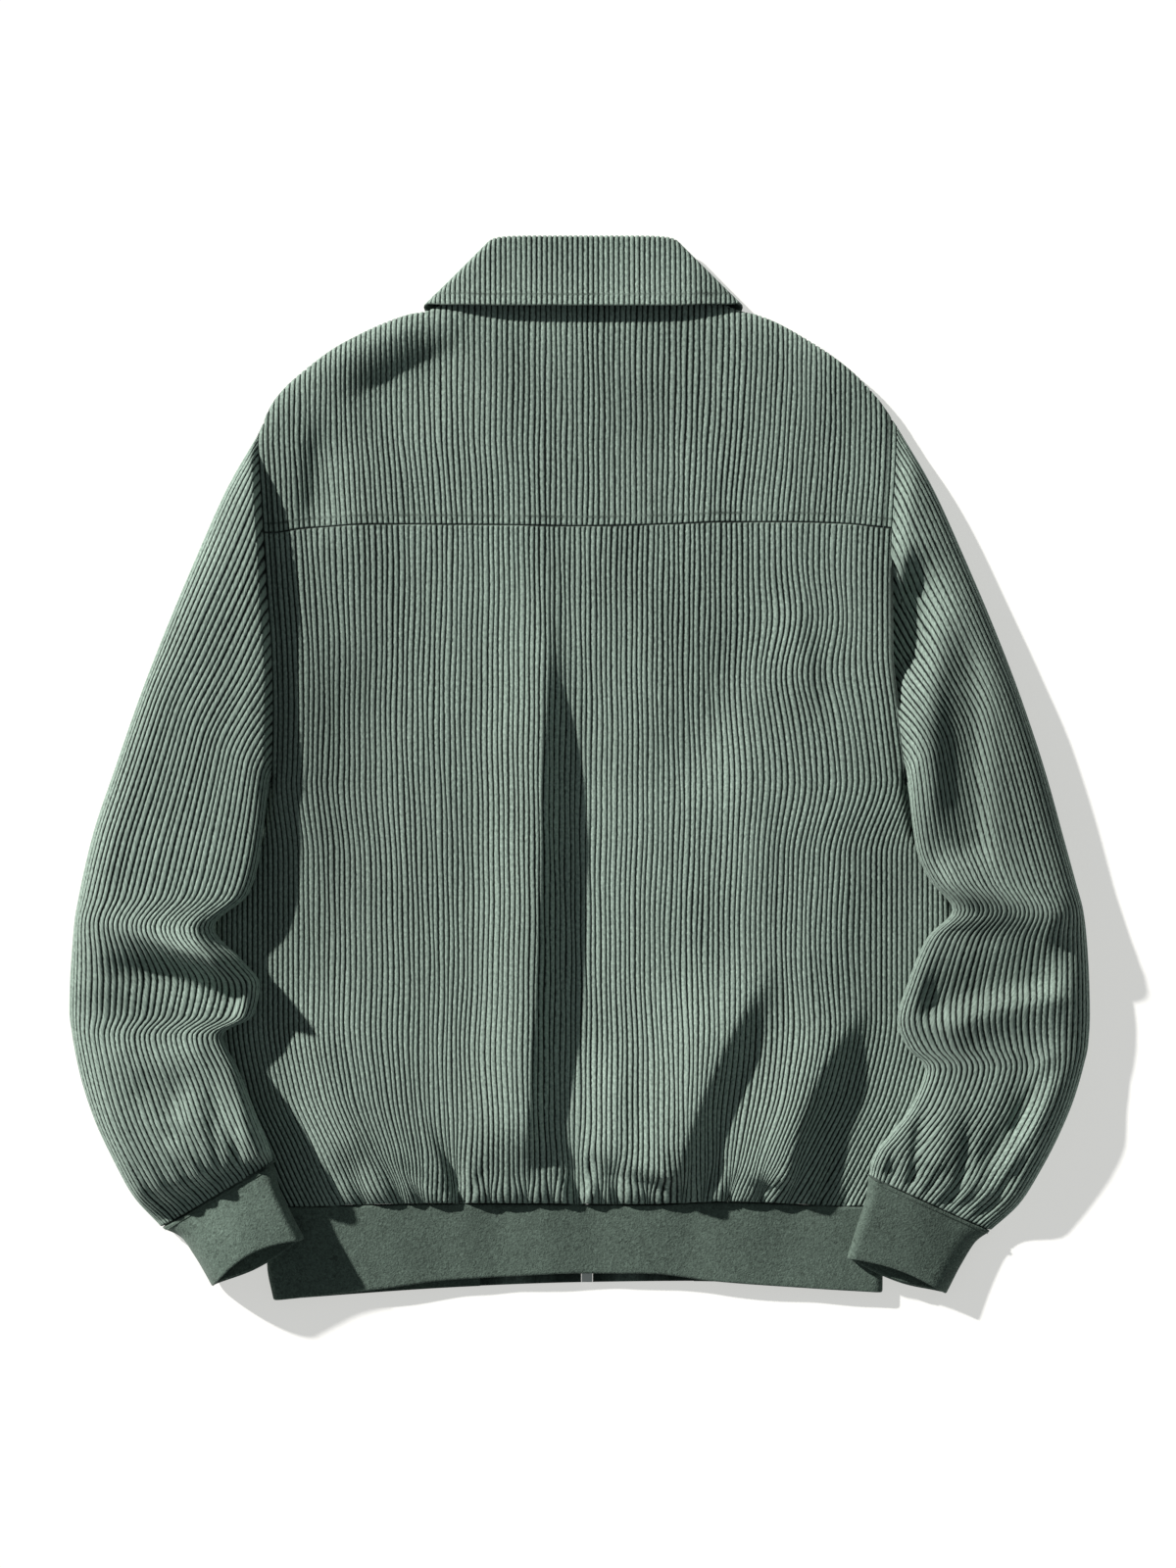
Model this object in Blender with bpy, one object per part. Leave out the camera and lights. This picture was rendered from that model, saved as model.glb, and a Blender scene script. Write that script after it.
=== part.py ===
"""Corduroy jacket with knit cuffs and hem band, laid flat with its back up.

Millimetres in the tables, metres in the meshes. X runs to the jacket's right sleeve as it lies, Y to the
collar, Z up. The fronts, sleeves and band rest on z = 0 and the back lies over them.
"""

import math
from collections import namedtuple

import bpy
import numpy as np

MM = 0.001

# Cloth and seams
CLOTH = 1.6  # corduroy wall
KNIT = 2.6  # rib knit wall of cuffs and band
TAPE = 1.0  # zip tape
GAP = 0.3  # between pieces at a seam
ARMHOLE_GAP = 0.5
UNDERARM_GAP = 1.4
GAP_WIDENS, GAP_WIDENING = 110.0, 50.0  # down from here, over this length

# Heights of the folded edges
SIDE_Z = 4.6  # side seam of the body
SIDE_ROLL = 8.0
SHOULDER_Z = 7.7
SHOULDER_ROLL = 14.0
FLOOR_ROLL = 7.0  # lower half of a folded edge
CUFF_REACH = 1.3  # rows over which a sleeve comes down to its cuff's height
JOIN_LEFT = 10.0  # from the armhole seam to a sleeve's own height
JOIN_RIGHT = 24.0
DIP_START = 6.0  # from the armhole seam to the full depth of a dip
LEAST_RISE = 4.8  # a sleeve's upper layer is never closer to its lower one
SUPPORT = 10.6  # a sleeve's lower face where it lies on the body
SUPPORT_CLIMB = (38, 24)  # start outside the body and width of the climb on to it
LOFT_CLIMB = (80, 66)
LIE_OVER = 20.0  # length under the arm in which a sleeve comes to lie on the body
LEAF_LIFT = 2.0  # fronts over the collar's front leaves
LEAF_LOW, LEAF_CLIMB = 130.0, 45.0  # where the lift starts, and over how long
LEAF_WIDE, LEAF_SLOPE = 175.0, 50.0  # half its width, and its sloping sides

# Shape of the sides: the back beside the sleeves is "beside" high for "tuck" mm, then climbs to "middle"
Body = namedtuple("Body", "y left right middle beside tuck")
BODY = (
    Body(-298, -208.5, 206.0, 11.5, 9.5, 10),
    Body(-293, -211.0, 208.5, 17.0, 9.5, 12),
    Body(-285, -215.0, 213.0, 20.0, 9.5, 14),
    Body(-260, -226.0, 226.0, 21.0, 9.5, 22),
    Body(-220, -243.0, 245.0, 20.0, 9.5, 34),
    Body(-170, -251.0, 255.0, 19.0, 9.5, 38),
    Body(-110, -250.0, 256.0, 18.0, 9.5, 36),
    Body(-80, -243.0, 250.0, 17.5, 9.5, 30),
    Body(-60, -230.0, 236.0, 17.0, 9.5, 18),
    Body(-45, -217.0, 227.5, 17.0, 9.7, 8),
    Body(-30, -213.6, 225.0, 17.0, 10.2, 2),
    Body(-20, -212.0, 223.4, 16.8, 10.8, 1),
    Body(-8, -210.4, 222.0, 16.5, 11.8, 0),
    Body(0, -209.6, 221.3, 16.5, 12.6, 0),
    Body(40, -208.6, 216.0, 16.0, 15.0, 0),
    Body(80, -209.6, 211.5, 16.0, 15.5, 0),
    Body(123, -212.6, 211.3, 16.0, 15.5, 0),
    Body(163, -215.2, 212.7, 16.0, 15.0, 0),
    Body(200, -217.6, 215.0, 16.0, 14.0, 0),
    Body(228, -219.4, 216.3, 15.5, 13.0, 0),
    Body(233, -219.4, 216.5, 15.5, 13.0, 0),
    Body(300, -219.4, 216.5, 14.0, 13.0, 0),
    Body(320, -219.4, 216.5, 13.0, 13.0, 0),
)
UNDERARM_Y = -8.0
CLIMB = 70.0  # width of the climb from the sides to the middle
FOLD_SIDE = 30.0  # width in which the back's folds start from the sides
FOLD_TOP = 322.0  # the back's folds end here, over FOLD_SIDE
TURN_BACK = 12.0  # length over which a side edge opens into the armhole
TURN_FRONT = 8.0

# Shoulder line and neck seam, seen from above, for the yoke and for the fronts
Edge = namedtuple("Edge", "x y")
SHOULDER_LEFT = (
    Edge(-219.4, 228.0), Edge(-208.7, 250.6), Edge(-189.0, 270.7), Edge(-160.5, 290.8),
    Edge(-116.0, 309.8), Edge(-106.0, 311.6), Edge(-97.0, 315.0), Edge(-89.0, 321.5), Edge(-81.0, 331.5),
)
SHOULDER_RIGHT = (
    Edge(86.0, 331.5), Edge(94.0, 321.5), Edge(102.0, 315.0), Edge(111.0, 311.6), Edge(121.0, 309.4),
    Edge(157.8, 291.0), Edge(185.9, 270.7), Edge(204.7, 250.6), Edge(216.5, 233.0),
)
BACK_NECK = (Edge(-60, 330.0), Edge(-30, 328.6), Edge(2, 328.0), Edge(35, 328.6), Edge(64, 330.0))
FRONT_NECK = (
    Edge(-72, 322), Edge(-50, 292), Edge(-22, 268), Edge(1, 258),
    Edge(9, 258), Edge(32, 268), Edge(58, 292), Edge(77, 322),
)
BACK_TOP = SHOULDER_LEFT + BACK_NECK + SHOULDER_RIGHT
FRONT_TOP = SHOULDER_LEFT + FRONT_NECK + SHOULDER_RIGHT
NECK_POINTS = (-81.0, 86.0)
NECK_TURN = 11.0  # how far in from a neck point its folded edge opens out

YOKE_SEAM = (
    Edge(-206, 160.5), Edge(-181, 164.0), Edge(-142, 166.0), Edge(-50, 165.5), Edge(0, 164.8),
    Edge(64, 166.2), Edge(96, 167.5), Edge(140, 167.5), Edge(180, 166.4), Edge(212, 163.5),
)
HEM_SEAM = (
    Edge(-214, -298.0), Edge(-193, -299.2), Edge(-158, -298.0), Edge(-79, -296.8),
    Edge(46, -297.5), Edge(96, -295.5), Edge(191, -298.8), Edge(210, -297.5),
)
BAND_BOTTOM = (
    Edge(-210, -362.9), Edge(-137, -355.1), Edge(-92, -349.1), Edge(-47, -346.4), Edge(-2, -344.4),
    Edge(46, -344.4), Edge(91, -349.7), Edge(145, -353.8), Edge(206, -357.5),
)
FRONT_BOTTOM = (Edge(-210, -362.9), Edge(-75, -353.8), Edge(5, -351.0), Edge(78, -350.2), Edge(206, -357.5))
BandSide = namedtuple("BandSide", "y left right")
BAND_SIDE = (
    BandSide(-363, -209.0, 206.7), BandSide(-338, -213.4, 206.9), BandSide(-315, -212.0, 206.7),
    BandSide(-297, -208.5, 206.0),
)

# Folds of the back: a path from start by middle to end; height over the cloth, and the width of the slope
# on the left and on the right hand of the path; fades are shares of the path
Fold = namedtuple("Fold", "name x0 y0 x1 y1 x2 y2 height left right fade_in fade_out")
BACK_FOLDS = (
    Fold("main ridge", -27, 162, -28, -60, -40, -284, 16.0, 11, 33, 0.44, 0.10),
    Fold("main hollow", 0, 90, 6, -60, 2, -260, -3.5, 20, 18, 0.30, 0.20),
    Fold("left swell", -92, 130, -100, -40, -94, -220, 3.0, 28, 28, 0.35, 0.30),
    Fold("left hollow", -150, 80, -158, -60, -140, -200, -2.5, 26, 26, 0.35, 0.35),
    Fold("right diagonal", 136, -116, 88, -205, 60, -286, 14.5, 14, 34, 0.40, 0.06),
    Fold("far right diagonal", 200, -150, 156, -218, 138, -286, 11.0, 12, 26, 0.40, 0.06),
    Fold("shoulder blade", 118, 130, 92, 40, 52, -30, -3.0, 20, 24, 0.35, 0.35),
    Fold("right side wave", 136, 122, 150, 82, 158, 30, 3.0, 9, 12, 0.40, 0.40),
    Fold("right middle swell", 96, 20, 118, -40, 124, -100, 3.5, 18, 20, 0.40, 0.40),
    Fold("low left swell", -186, -150, -170, -215, -150, -275, 5.0, 14, 20, 0.35, 0.20),
    Fold("low middle swell", 22, -180, 24, -225, 18, -276, 4.5, 13, 16, 0.50, 0.20),
)
YOKE_FOLDS = (
    Fold("left shoulder swell", -100, 306, -140, 290, -180, 258, 3.5, 12, 18, 0.30, 0.35),
    Fold("left shoulder hollow", -66, 290, -122, 267, -172, 238, -7.6, 42, 11, 0.30, 0.45),
    Fold("hollow by the armhole", -170, 250, -178, 202, -178, 146, -7.0, 22, 11, 0.45, 0.35),
    Fold("middle hollow", 42, 270, 44, 230, 40, 180, -1.6, 22, 22, 0.35, 0.35),
)
# Creases of the gathers above the hem band, from left to right
GATHER_START = 5.0  # from the seam to a crease's full depth
GATHER_LEFT = 0.5
Gather = namedtuple("Gather", "x depth width reach lean")
HEM_GATHERS = (
    Gather(-188, 3.5, 4.6, 34, -6), Gather(-166, 3.5, 4.4, 30, -8), Gather(-146, 4.5, 5.0, 48, -20),
    Gather(-121, 4.5, 4.2, 42, -16), Gather(-107, 4.0, 4.2, 34, -16), Gather(-81, 8.0, 5.0, 60, -12),
    Gather(-61, 2.0, 3.6, 24, -2), Gather(-36, 2.0, 3.6, 22, 0), Gather(-19, 2.2, 3.6, 24, 0),
    Gather(-2, 7.5, 4.6, 60, -4), Gather(14, 3.0, 4.0, 36, 2), Gather(25, 5.0, 4.0, 42, -2),
    Gather(47, 1.8, 3.6, 22, 0), Gather(70, 5.0, 4.4, 44, 4), Gather(84, 4.2, 4.0, 44, 10),
    Gather(101, 3.0, 4.0, 40, 8), Gather(123, 4.0, 4.0, 38, 6), Gather(142, 3.6, 4.2, 44, 14),
    Gather(164, 6.0, 4.6, 52, 18), Gather(180, 4.0, 4.4, 36, 14), Gather(193, 3.5, 4.0, 28, 10),
)

# Sleeves: rows across the sleeve from its outer to its inner edge, the first ones run under the armhole
# seam and are cut off along it; top is the height of the upper face
Row = namedtuple("Row", "outer_x outer_y inner_x inner_y top")
SLEEVE_LEFT = (
    Row(-219.4, 227.8, -122.0, 190.0, 24), Row(-240.0, 192.0, -134.0, 146.0, 29),
    Row(-262.0, 143.0, -152.0, 96.0, 30), Row(-283.0, 93.0, -178.0, 46.0, 27),
    Row(-300.0, 49.0, -212.8, -10.0, 27), Row(-317.0, 0.0, -215.0, -40.0, 29),
    Row(-332.0, -45.0, -218.5, -67.0, 31), Row(-341.0, -84.0, -225.0, -86.0, 31),
    Row(-344.5, -104.0, -248.0, -108.0, 31), Row(-346.3, -125.0, -229.0, -130.0, 33),
    Row(-347.6, -145.0, -217.0, -147.0, 33), Row(-348.1, -165.0, -221.5, -168.0, 29),
    Row(-346.0, -182.0, -242.0, -181.5, 31), Row(-341.0, -207.0, -230.5, -206.0, 39),
    Row(-331.0, -238.0, -217.0, -239.0, 48), Row(-318.0, -266.0, -210.5, -255.0, 49),
    Row(-303.0, -293.0, -208.6, -261.5, 46), Row(-285.1, -313.0, -207.8, -267.0, 32),
)
SLEEVE_RIGHT = (
    Row(216.5, 232.8, 122.0, 192.0, 19), Row(240.0, 193.0, 136.0, 146.0, 24),
    Row(261.5, 146.0, 156.0, 98.0, 27), Row(283.5, 94.0, 188.0, 48.0, 29),
    Row(300.5, 49.6, 223.2, -3.0, 30), Row(317.0, 0.0, 225.2, -32.0, 30),
    Row(329.5, -45.0, 228.8, -56.0, 30), Row(338.5, -78.0, 237.5, -76.0, 31),
    Row(343.5, -97.0, 253.0, -96.0, 30), Row(345.8, -115.0, 236.0, -115.0, 28),
    Row(347.6, -145.0, 223.0, -145.0, 30), Row(348.1, -168.0, 215.5, -171.0, 29),
    Row(347.0, -188.0, 222.5, -190.0, 27), Row(343.5, -204.0, 234.5, -204.0, 27),
    Row(337.0, -226.0, 226.0, -228.0, 28), Row(327.0, -250.0, 211.0, -248.0, 28),
    Row(314.0, -275.0, 201.5, -260.0, 27), Row(300.0, -297.0, 198.0, -269.0, 25),
    Row(280.0, -315.5, 196.7, -277.1, 20),
)
OUTER_ROLL = 0.20  # shares of the sleeve's width
INNER_ROLL = 0.085
LOWER_ROLL = 0.08
FOLDS_OUTER = 0.30  # shares of the width in which the folds start from the edges
FOLDS_INNER = 0.16
OUTER_Z = 7.0
SLEEVE_FOLDS_LEFT = (
    Fold("long ridge", -228, 196, -222, 70, -228, -58, 2.0, 16, 9, 0.25, 0.35),
    Fold("elbow ridge", -338, -102, -284, -115, -218, -143, 13.0, 18, 10, 0.25, 0.0),
    Fold("elbow peak", -290, -108, -252, -124, -216, -142, 13.0, 15, 10, 0.50, 0.0),
    Fold("hollow under the elbow", -332, -134, -284, -142, -226, -159, -14.0, 11, 12, 0.20, 0.05),
    Fold("forearm ridge", -326, -176, -290, -196, -244, -186, 4.0, 10, 14, 0.30, 0.15),
    Fold("forearm hollow", -302, -206, -286, -226, -262, -236, -4.0, 12, 14, 0.35, 0.35),
    Fold("puff over the cuff", -232, -196, -222, -226, -226, -262, 4.0, 12, 16, 0.40, 0.20),
    Fold("crease beside the puff", -252, -212, -240, -238, -229, -270, -5.0, 5, 7, 0.35, 0.0),
    Fold("cuff pleat", -280, -246, -262, -264, -243, -281, 5.0, 8, 5, 0.35, 0.0),
    Fold("outer cuff crease", -304, -264, -296, -280, -280, -300, -3.5, 6, 6, 0.35, 0.0),
)
SLEEVE_DIPS_LEFT = ()  # hollows close to the armhole seam
SLEEVE_DIPS_RIGHT = (Fold("armhole dip", 228, 152, 227, 98, 217, 28, -32.0, 15, 15, 0.45, 0.45),)
SLEEVE_FOLDS_RIGHT = (
    Fold("long ridge", 243, 130, 237, 50, 240, -50, 5.0, 10, 9, 0.25, 0.20),
    Fold("long hollow", 264, 106, 268, 10, 271, -70, -9.5, 8, 22, 0.25, 0.12),
    Fold("elbow ridge", 236, -82, 286, -90, 342, -116, 12.0, 17, 19, 0.15, 0.20),
    Fold("hollow under the elbow", 224, -170, 278, -151, 338, -146, -9.0, 24, 6, 0.20, 0.25),
    Fold("lit ridge", 238, -184, 282, -162, 340, -154, 5.0, 5, 15, 0.25, 0.20),
    Fold("outer forearm ridge", 334, -196, 312, -238, 284, -280, 5.0, 9, 9, 0.30, 0.15),
    Fold("forearm hollow", 306, -206, 294, -244, 268, -276, -6.0, 11, 11, 0.35, 0.20),
    Fold("inner forearm ridge", 246, -216, 248, -246, 240, -276, 4.0, 10, 10, 0.40, 0.15),
)
UNDERARM_ROW = 4.05  # the armhole seam is left by this row
EVEN_FROM = 5.8  # from this row on the mesh rows are even
EVEN_ROWS = 17
CAP_ROWS = (0, 0.05, 0.14, 0.27, 0.42, 0.57, 0.72, 0.86)  # shares of the way to the even rows
CUFF_GATHERS = (0.16, 0.30, 0.43, 0.57, 0.70, 0.84)  # shares of the sleeve's width
CUFF_GATHERS_LEFT, CUFF_GATHERS_RIGHT = 3.4, 2.0  # their depths
CUFF_GATHER_WIDTH = 0.045
PUFF_LONG, PUFF_RISE = 2.5, 1.6  # rows before the cuff in which the gathers start and deepen
PUFF_END, PUFF_DROP = 0.7, 0.55  # in the last rows they lose this share of their depth
CUFF_LEFT = (
    Row(-284.6, -313.5, -207.6, -267.5, 22), Row(-272.5, -319.0, -204.0, -283.2, 24),
    Row(-262.0, -333.0, -196.0, -301.0, 26), Row(-250.3, -353.0, -186.6, -318.7, 27),
)
CUFF_RIGHT = (
    Row(279.9, -315.8, 196.6, -277.3, 13), Row(271.0, -322.0, 194.5, -292.0, 13),
    Row(260.5, -338.0, 188.5, -311.0, 12), Row(250.0, -358.3, 181.6, -333.0, 11),
)
CUFF_BOW_LEFT, CUFF_BOW_RIGHT = 8.5, 4.6  # the upper layers' ends are drawn in, the lower ones hang out
CUFF_BOW_LOWER = 3.6
CUFF_BOW_RUN = (0.45, 0.9)

# Collar: stations from its middle to its front end; turn is 0 on the back, 180 on the fronts
Station = namedtuple("Station", "turn neck_x neck_y roll_x roll_y edge_x edge_y lift")
COLLAR_LEFT = (
    Station(0, -22, 328.9, -14, 362.1, -24, 314.2, 7.5),
    Station(0, -46, 330.2, -32, 362.1, -52, 314.2, 7.0),
    Station(0, -68, 332.4, -47, 361.8, -80, 314.9, 4.0),
    Station(22, -79, 334.6, -55.5, 361.2, -96, 315.5, 0.3),
    Station(55, -84, 336.8, -60, 360.0, -103, 316.2, 0),
    Station(90, -85.5, 336.6, -62, 358.0, -105.5, 315.6, 0),
    Station(122, -84.5, 335.2, -61, 354.5, -106.4, 314.8, 0),
    Station(152, -80.2, 333.4, -58, 350.5, -105.6, 312.0, 0),
    Station(180, -71.5, 321.0, -52, 342.0, -101, 301.5, 0),
    Station(180, -50, 291.6, -35, 315.0, -80, 256.0, 0),
    Station(180, -22, 267.6, -16, 288.0, -67, 231.0, 0),
    Station(180, 1, 257.6, -1, 272.0, -60, 219.0, 0),
)
COLLAR_MIDDLE = Station(0, 2.5, 328.3, 2.5, 362.1, 2.5, 314.0, 7.5)
COLLAR_Z = 7.5
FRONT_NECK_GAP = 0.9
TIP_OUTWARD = (0.70, 0.71)  # way in which the collar turns over at its ends
STAND_ROWS = (0.0, 0.35, 0.7, 1.0)  # shares from the neck seam to the roll line
ROLL_ANGLES = (45, 90, 135)
FALL_ROWS = (0.0, 0.3, 0.6, 0.85, 1.0)  # shares from the roll line to the free edge
STAND_RADIUS = 4.7
FALL_RADIUS = 6.7

# Columns and rows of the back; rows are shares of the way up
HEM_Y = -297.0
YOKE_Y = 165.0
SHOULDER_Y = 320.0
BACK_COLUMNS = 47
YOKE_COLUMNS, YOKE_ROWS = 39, 6
FRONT_COLUMNS = 12
STEEPEST = 2.3  # slope at which a shoulder line still sets the roll across it
BACK_ROWS = (
    0, 0.016, 0.04, 0.07, 0.11, 0.155, 0.205, 0.28, 0.35, 0.42, 0.495,
    0.57, 0.64, 0.71, 0.78, 0.855, 0.93, 1,
)

# Rows of the fronts, as shares of the way up to the roll of the shoulder
FRONT_ROWS = (0, 0.06, 0.13, 0.20, 0.28, 0.36, 0.44, 0.50, 0.55, 0.60, 0.66, 0.73, 0.80, 0.85, 0.90, 0.95)

# Zip
ZIP_X = 5.0
FRONT_EDGE = 4.0  # each front ends this far from the zip's middle
TAPE_EDGE = 0.8
TAPE_WIDTH = 13.0
TAPE_BOTTOM = -339.0
TAPE_FREE = 5.0  # no rows of the tape this near to its ends
ZIP_TOP = 255.0
TAB_SIDE = 73.0  # the hem tabs' far ends from the zip's middle
BAND_Z = 9.5
BAND_ROLL = 7.0
BAND_UNDER_COLUMNS, BAND_OVER_COLUMNS, BAND_ROWS = 7, 27, 5
BOX = (7.2, 11.0, 3.2)
BOX_MIDDLE = (ZIP_X, -345.3, 2.1)
SLIDER_Y = 238.0
SLIDER_PLATE = (6.8, 12.0, 1.2)
SLIDER_LOW_Z = 2.9
SLIDER_HIGH_Z = 6.1
SLIDER_POST = (0.8, 3.0)
SLIDER_POST_UP = 3.0  # from the plates' middle towards the collar
PULL_Y = 231.2
PULL_Z = 1.35
PULL_EYE_R = 0.85
PULL_EYE_W = 2.2
PULL_EYE_SIDES = 12
PULL_NECK = 4.0  # from the eye to the tab
PULL_NECK_MIDDLE = -2.2
PULL_DROP = -0.3  # middle of neck and tab below the axis
PULL_LENGTH = 28.0
PULL_WIDTH = 5.6
PULL_THICK = 1.0
EAR = (0.8, 3.6, 2.4)
EAR_SPREAD = 1.8
EAR_UP, EAR_DROP = 0.9, 0.9  # from the hinge axis, and below the lower plate


# ---------- reading the tables ----------


def column(rows, name):
    return np.array([getattr(row, name) for row in rows], float)


def read(keys, values, at):
    """A smooth curve through the values that never overshoots them."""
    steps = np.diff(keys)
    slopes = np.diff(values) / steps
    tangents = np.zeros_like(values)
    tangents[0], tangents[-1] = slopes[0], slopes[-1]
    before, after = slopes[:-1], slopes[1:]
    rising = before * after > 0
    tangents[1:-1][rising] = 2 * before[rising] * after[rising] / (before + after)[rising]
    at = np.clip(at, keys[0], keys[-1])
    i = np.clip(np.searchsorted(keys, at) - 1, 0, len(steps) - 1)
    t = (at - keys[i]) / steps[i]
    start = (1 + 2 * t) * (1 - t) ** 2 * values[i] + t * (1 - t) ** 2 * steps[i] * tangents[i]
    end = t * t * (3 - 2 * t) * values[i + 1] + t * t * (t - 1) * steps[i] * tangents[i + 1]
    return start + end


def body_at(name, y):
    return read(column(BODY, "y"), column(BODY, name), y)


def edge_y(rows, x):
    return read(column(rows, "x"), column(rows, "y"), x)


def edge_slope(rows, x):
    return (edge_y(rows, x + 0.5) - edge_y(rows, x - 0.5)).clip(-STEEPEST, STEEPEST)


def ease(t):
    t = np.clip(t, 0, 1)
    return t * t * (3 - 2 * t)


def rounded(t):
    """A quarter circle: 0 and upright at the edge, 1 and level from t = 1 on."""
    return np.sqrt(1 - (1 - np.clip(t, 0, 1)) ** 2)


# ---------- heights of the body ----------


def fold_height(x, y, folds):
    total = np.zeros(np.shape(x))
    s = np.linspace(0, 1, 33)
    for fold in folds:
        bend_x = 2 * fold.x1 - (fold.x0 + fold.x2) / 2
        bend_y = 2 * fold.y1 - (fold.y0 + fold.y2) / 2
        path_x = (1 - s) ** 2 * fold.x0 + 2 * s * (1 - s) * bend_x + s * s * fold.x2
        path_y = (1 - s) ** 2 * fold.y0 + 2 * s * (1 - s) * bend_y + s * s * fold.y2
        run_x, run_y = np.gradient(path_x), np.gradient(path_y)
        off_x, off_y = x[..., None] - path_x, y[..., None] - path_y
        away = np.hypot(off_x, off_y)
        near = away.argmin(axis=-1)
        off_x = np.take_along_axis(off_x, near[..., None], -1)[..., 0]
        off_y = np.take_along_axis(off_y, near[..., None], -1)[..., 0]
        left_hand = run_x[near] * off_y - run_y[near] * off_x > 0
        width = np.where(left_hand, fold.left, fold.right)
        share = s[near]
        fade = ease(share / max(fold.fade_in, 0.01)) if fold.fade_in else 1.0
        if fold.fade_out:
            fade = fade * ease((1 - share) / fold.fade_out)
        total += fold.height * fade * np.exp(-((away.min(axis=-1) / width) ** 2))
    return total


def gather_height(x, y):
    """Creases that start at the hem seam and die out upwards, with the cloth puffed between them."""
    up = y - edge_y(HEM_SEAM, x)
    total = np.zeros(np.shape(x))
    for gather in HEM_GATHERS:
        along = np.clip(up / gather.reach, 0, 1)
        off = x - gather.x - gather.lean * along
        depth = gather.depth * (1 - ease(along)) * ease(up / GATHER_START + GATHER_LEFT)
        total -= depth * np.exp(-((off / (gather.width * (1 + along))) ** 2))
    return total


def from_sides(x, y):
    return np.minimum(x - body_at("left", y), body_at("right", y) - x)


def side_turn(y, length):
    """1 along the side seam, 0 where the armhole is open, round in between."""
    return np.where(y < UNDERARM_Y, 1.0, 1 - rounded((y - UNDERARM_Y) / length))


def neck_turn(x):
    left, right = NECK_POINTS
    return 1 - rounded(np.minimum(x - left, right - x) / NECK_TURN)


def from_shoulder(rows, x, y):
    return (edge_y(rows, x) - y) / np.sqrt(1 + edge_slope(rows, x) ** 2)


def back_z(x, y):
    inside = from_sides(x, y)
    tuck = body_at("tuck", y)
    beside = body_at("beside", y)
    z = beside + (body_at("middle", y) - beside) * ease((inside - tuck) / CLIMB)
    folds = fold_height(x, y, BACK_FOLDS + YOKE_FOLDS) + gather_height(x, y)
    z = z + folds * ease((inside - tuck) / FOLD_SIDE) * ease((FOLD_TOP - y) / FOLD_SIDE)
    z = z - (z - SIDE_Z) * (1 - rounded(inside / SIDE_ROLL)) * side_turn(y, TURN_BACK)
    down = 1 - rounded(from_shoulder(BACK_TOP, x, y) / SHOULDER_ROLL)
    return z - (z - SHOULDER_Z) * down * neck_turn(x)


def leaf_lift(x, y):
    return LEAF_LIFT * ease((y - LEAF_LOW) / LEAF_CLIMB) * ease((LEAF_WIDE - abs(x - ZIP_X)) / LEAF_SLOPE)


def front_z(x, y):
    lift = leaf_lift(x, y)
    inside = from_sides(x, y)
    z = lift + SIDE_Z * (1 - rounded(inside / FLOOR_ROLL)) * side_turn(y, TURN_FRONT)
    down = 1 - rounded(from_shoulder(FRONT_TOP, x, y) / FLOOR_ROLL)
    return z + (SHOULDER_Z - z) * down * neck_turn(x)


def lying_over(x, y, start, width):
    """0 beside the body, 1 over its edge and the hem band; the climb starts this far outside."""
    inside = np.where(x < 0, x - body_at("left", y), body_at("right", y) - x)
    return ease((inside + start) / width) * ease((UNDERARM_Y - y) / LIE_OVER)


def support_z(x, y):
    """Lower face of a sleeve or cuff."""
    return SUPPORT * lying_over(x, y, *SUPPORT_CLIMB)


def loft_z(x, y):
    """The same climb for a cuff's upper face, which is softer."""
    return SUPPORT * lying_over(x, y, *LOFT_CLIMB)


# ---------- meshes ----------


def normals_of(grid, ring):
    if ring:
        across = np.roll(grid, -1, axis=1) - np.roll(grid, 1, axis=1)
    else:
        across = np.gradient(grid, axis=1)
    normal = np.cross(across, np.gradient(grid, axis=0))
    return normal / np.linalg.norm(normal, axis=2, keepdims=True)


def finish_mesh(name, points, faces, material):
    mesh = bpy.data.meshes.new(name)
    mesh.from_pydata((np.asarray(points) * MM).tolist(), [], faces)
    mesh.validate()
    mesh.shade_smooth()
    mesh.set_sharp_from_angle(angle=math.radians(50))
    mesh.materials.append(material)
    piece = bpy.data.objects.new(name, mesh)
    bpy.context.collection.objects.link(piece)
    return piece


def wall(name, grid, thickness, material, ring=False, in_plane=()):
    """Closed wall under a grid of outer points, whose rows run along axis 0 and whose faces point out.

    in_plane lists (rows, columns, axis): there the wall's edge stays in the plane across that axis.
    """
    normal = normals_of(grid, ring)
    for rows, columns, axis in in_plane:
        normal[rows, columns, axis] = 0
    normal /= np.linalg.norm(normal, axis=2, keepdims=True)
    inner = grid - normal * thickness
    count_rows, count = grid.shape[:2]
    points = np.concatenate([grid.reshape(-1, 3), inner.reshape(-1, 3)])
    half = count_rows * count
    last = count if ring else count - 1
    faces = []
    for r in range(count_rows - 1):
        for c in range(last):
            a, b = r * count + c, r * count + (c + 1) % count
            faces.append((a, b, b + count, a + count))
            faces.append((a + half, a + count + half, b + count + half, b + half))
    for c in range(last):
        a, b = c, (c + 1) % count
        faces.append((a, a + half, b + half, b))
        a, b = a + half - count, b + half - count
        faces.append((b, b + half, a + half, a))
    if not ring:
        for r in range(count_rows - 1):
            a = r * count
            faces.append((a, a + count, a + count + half, a + half))
            a += count - 1
            faces.append((a + count, a, a + half, a + count + half))
    return finish_mesh(name, points, faces, material)


def stack(x, y, z):
    return np.stack([x, y, z], axis=-1)


# ---------- materials ----------


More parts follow.
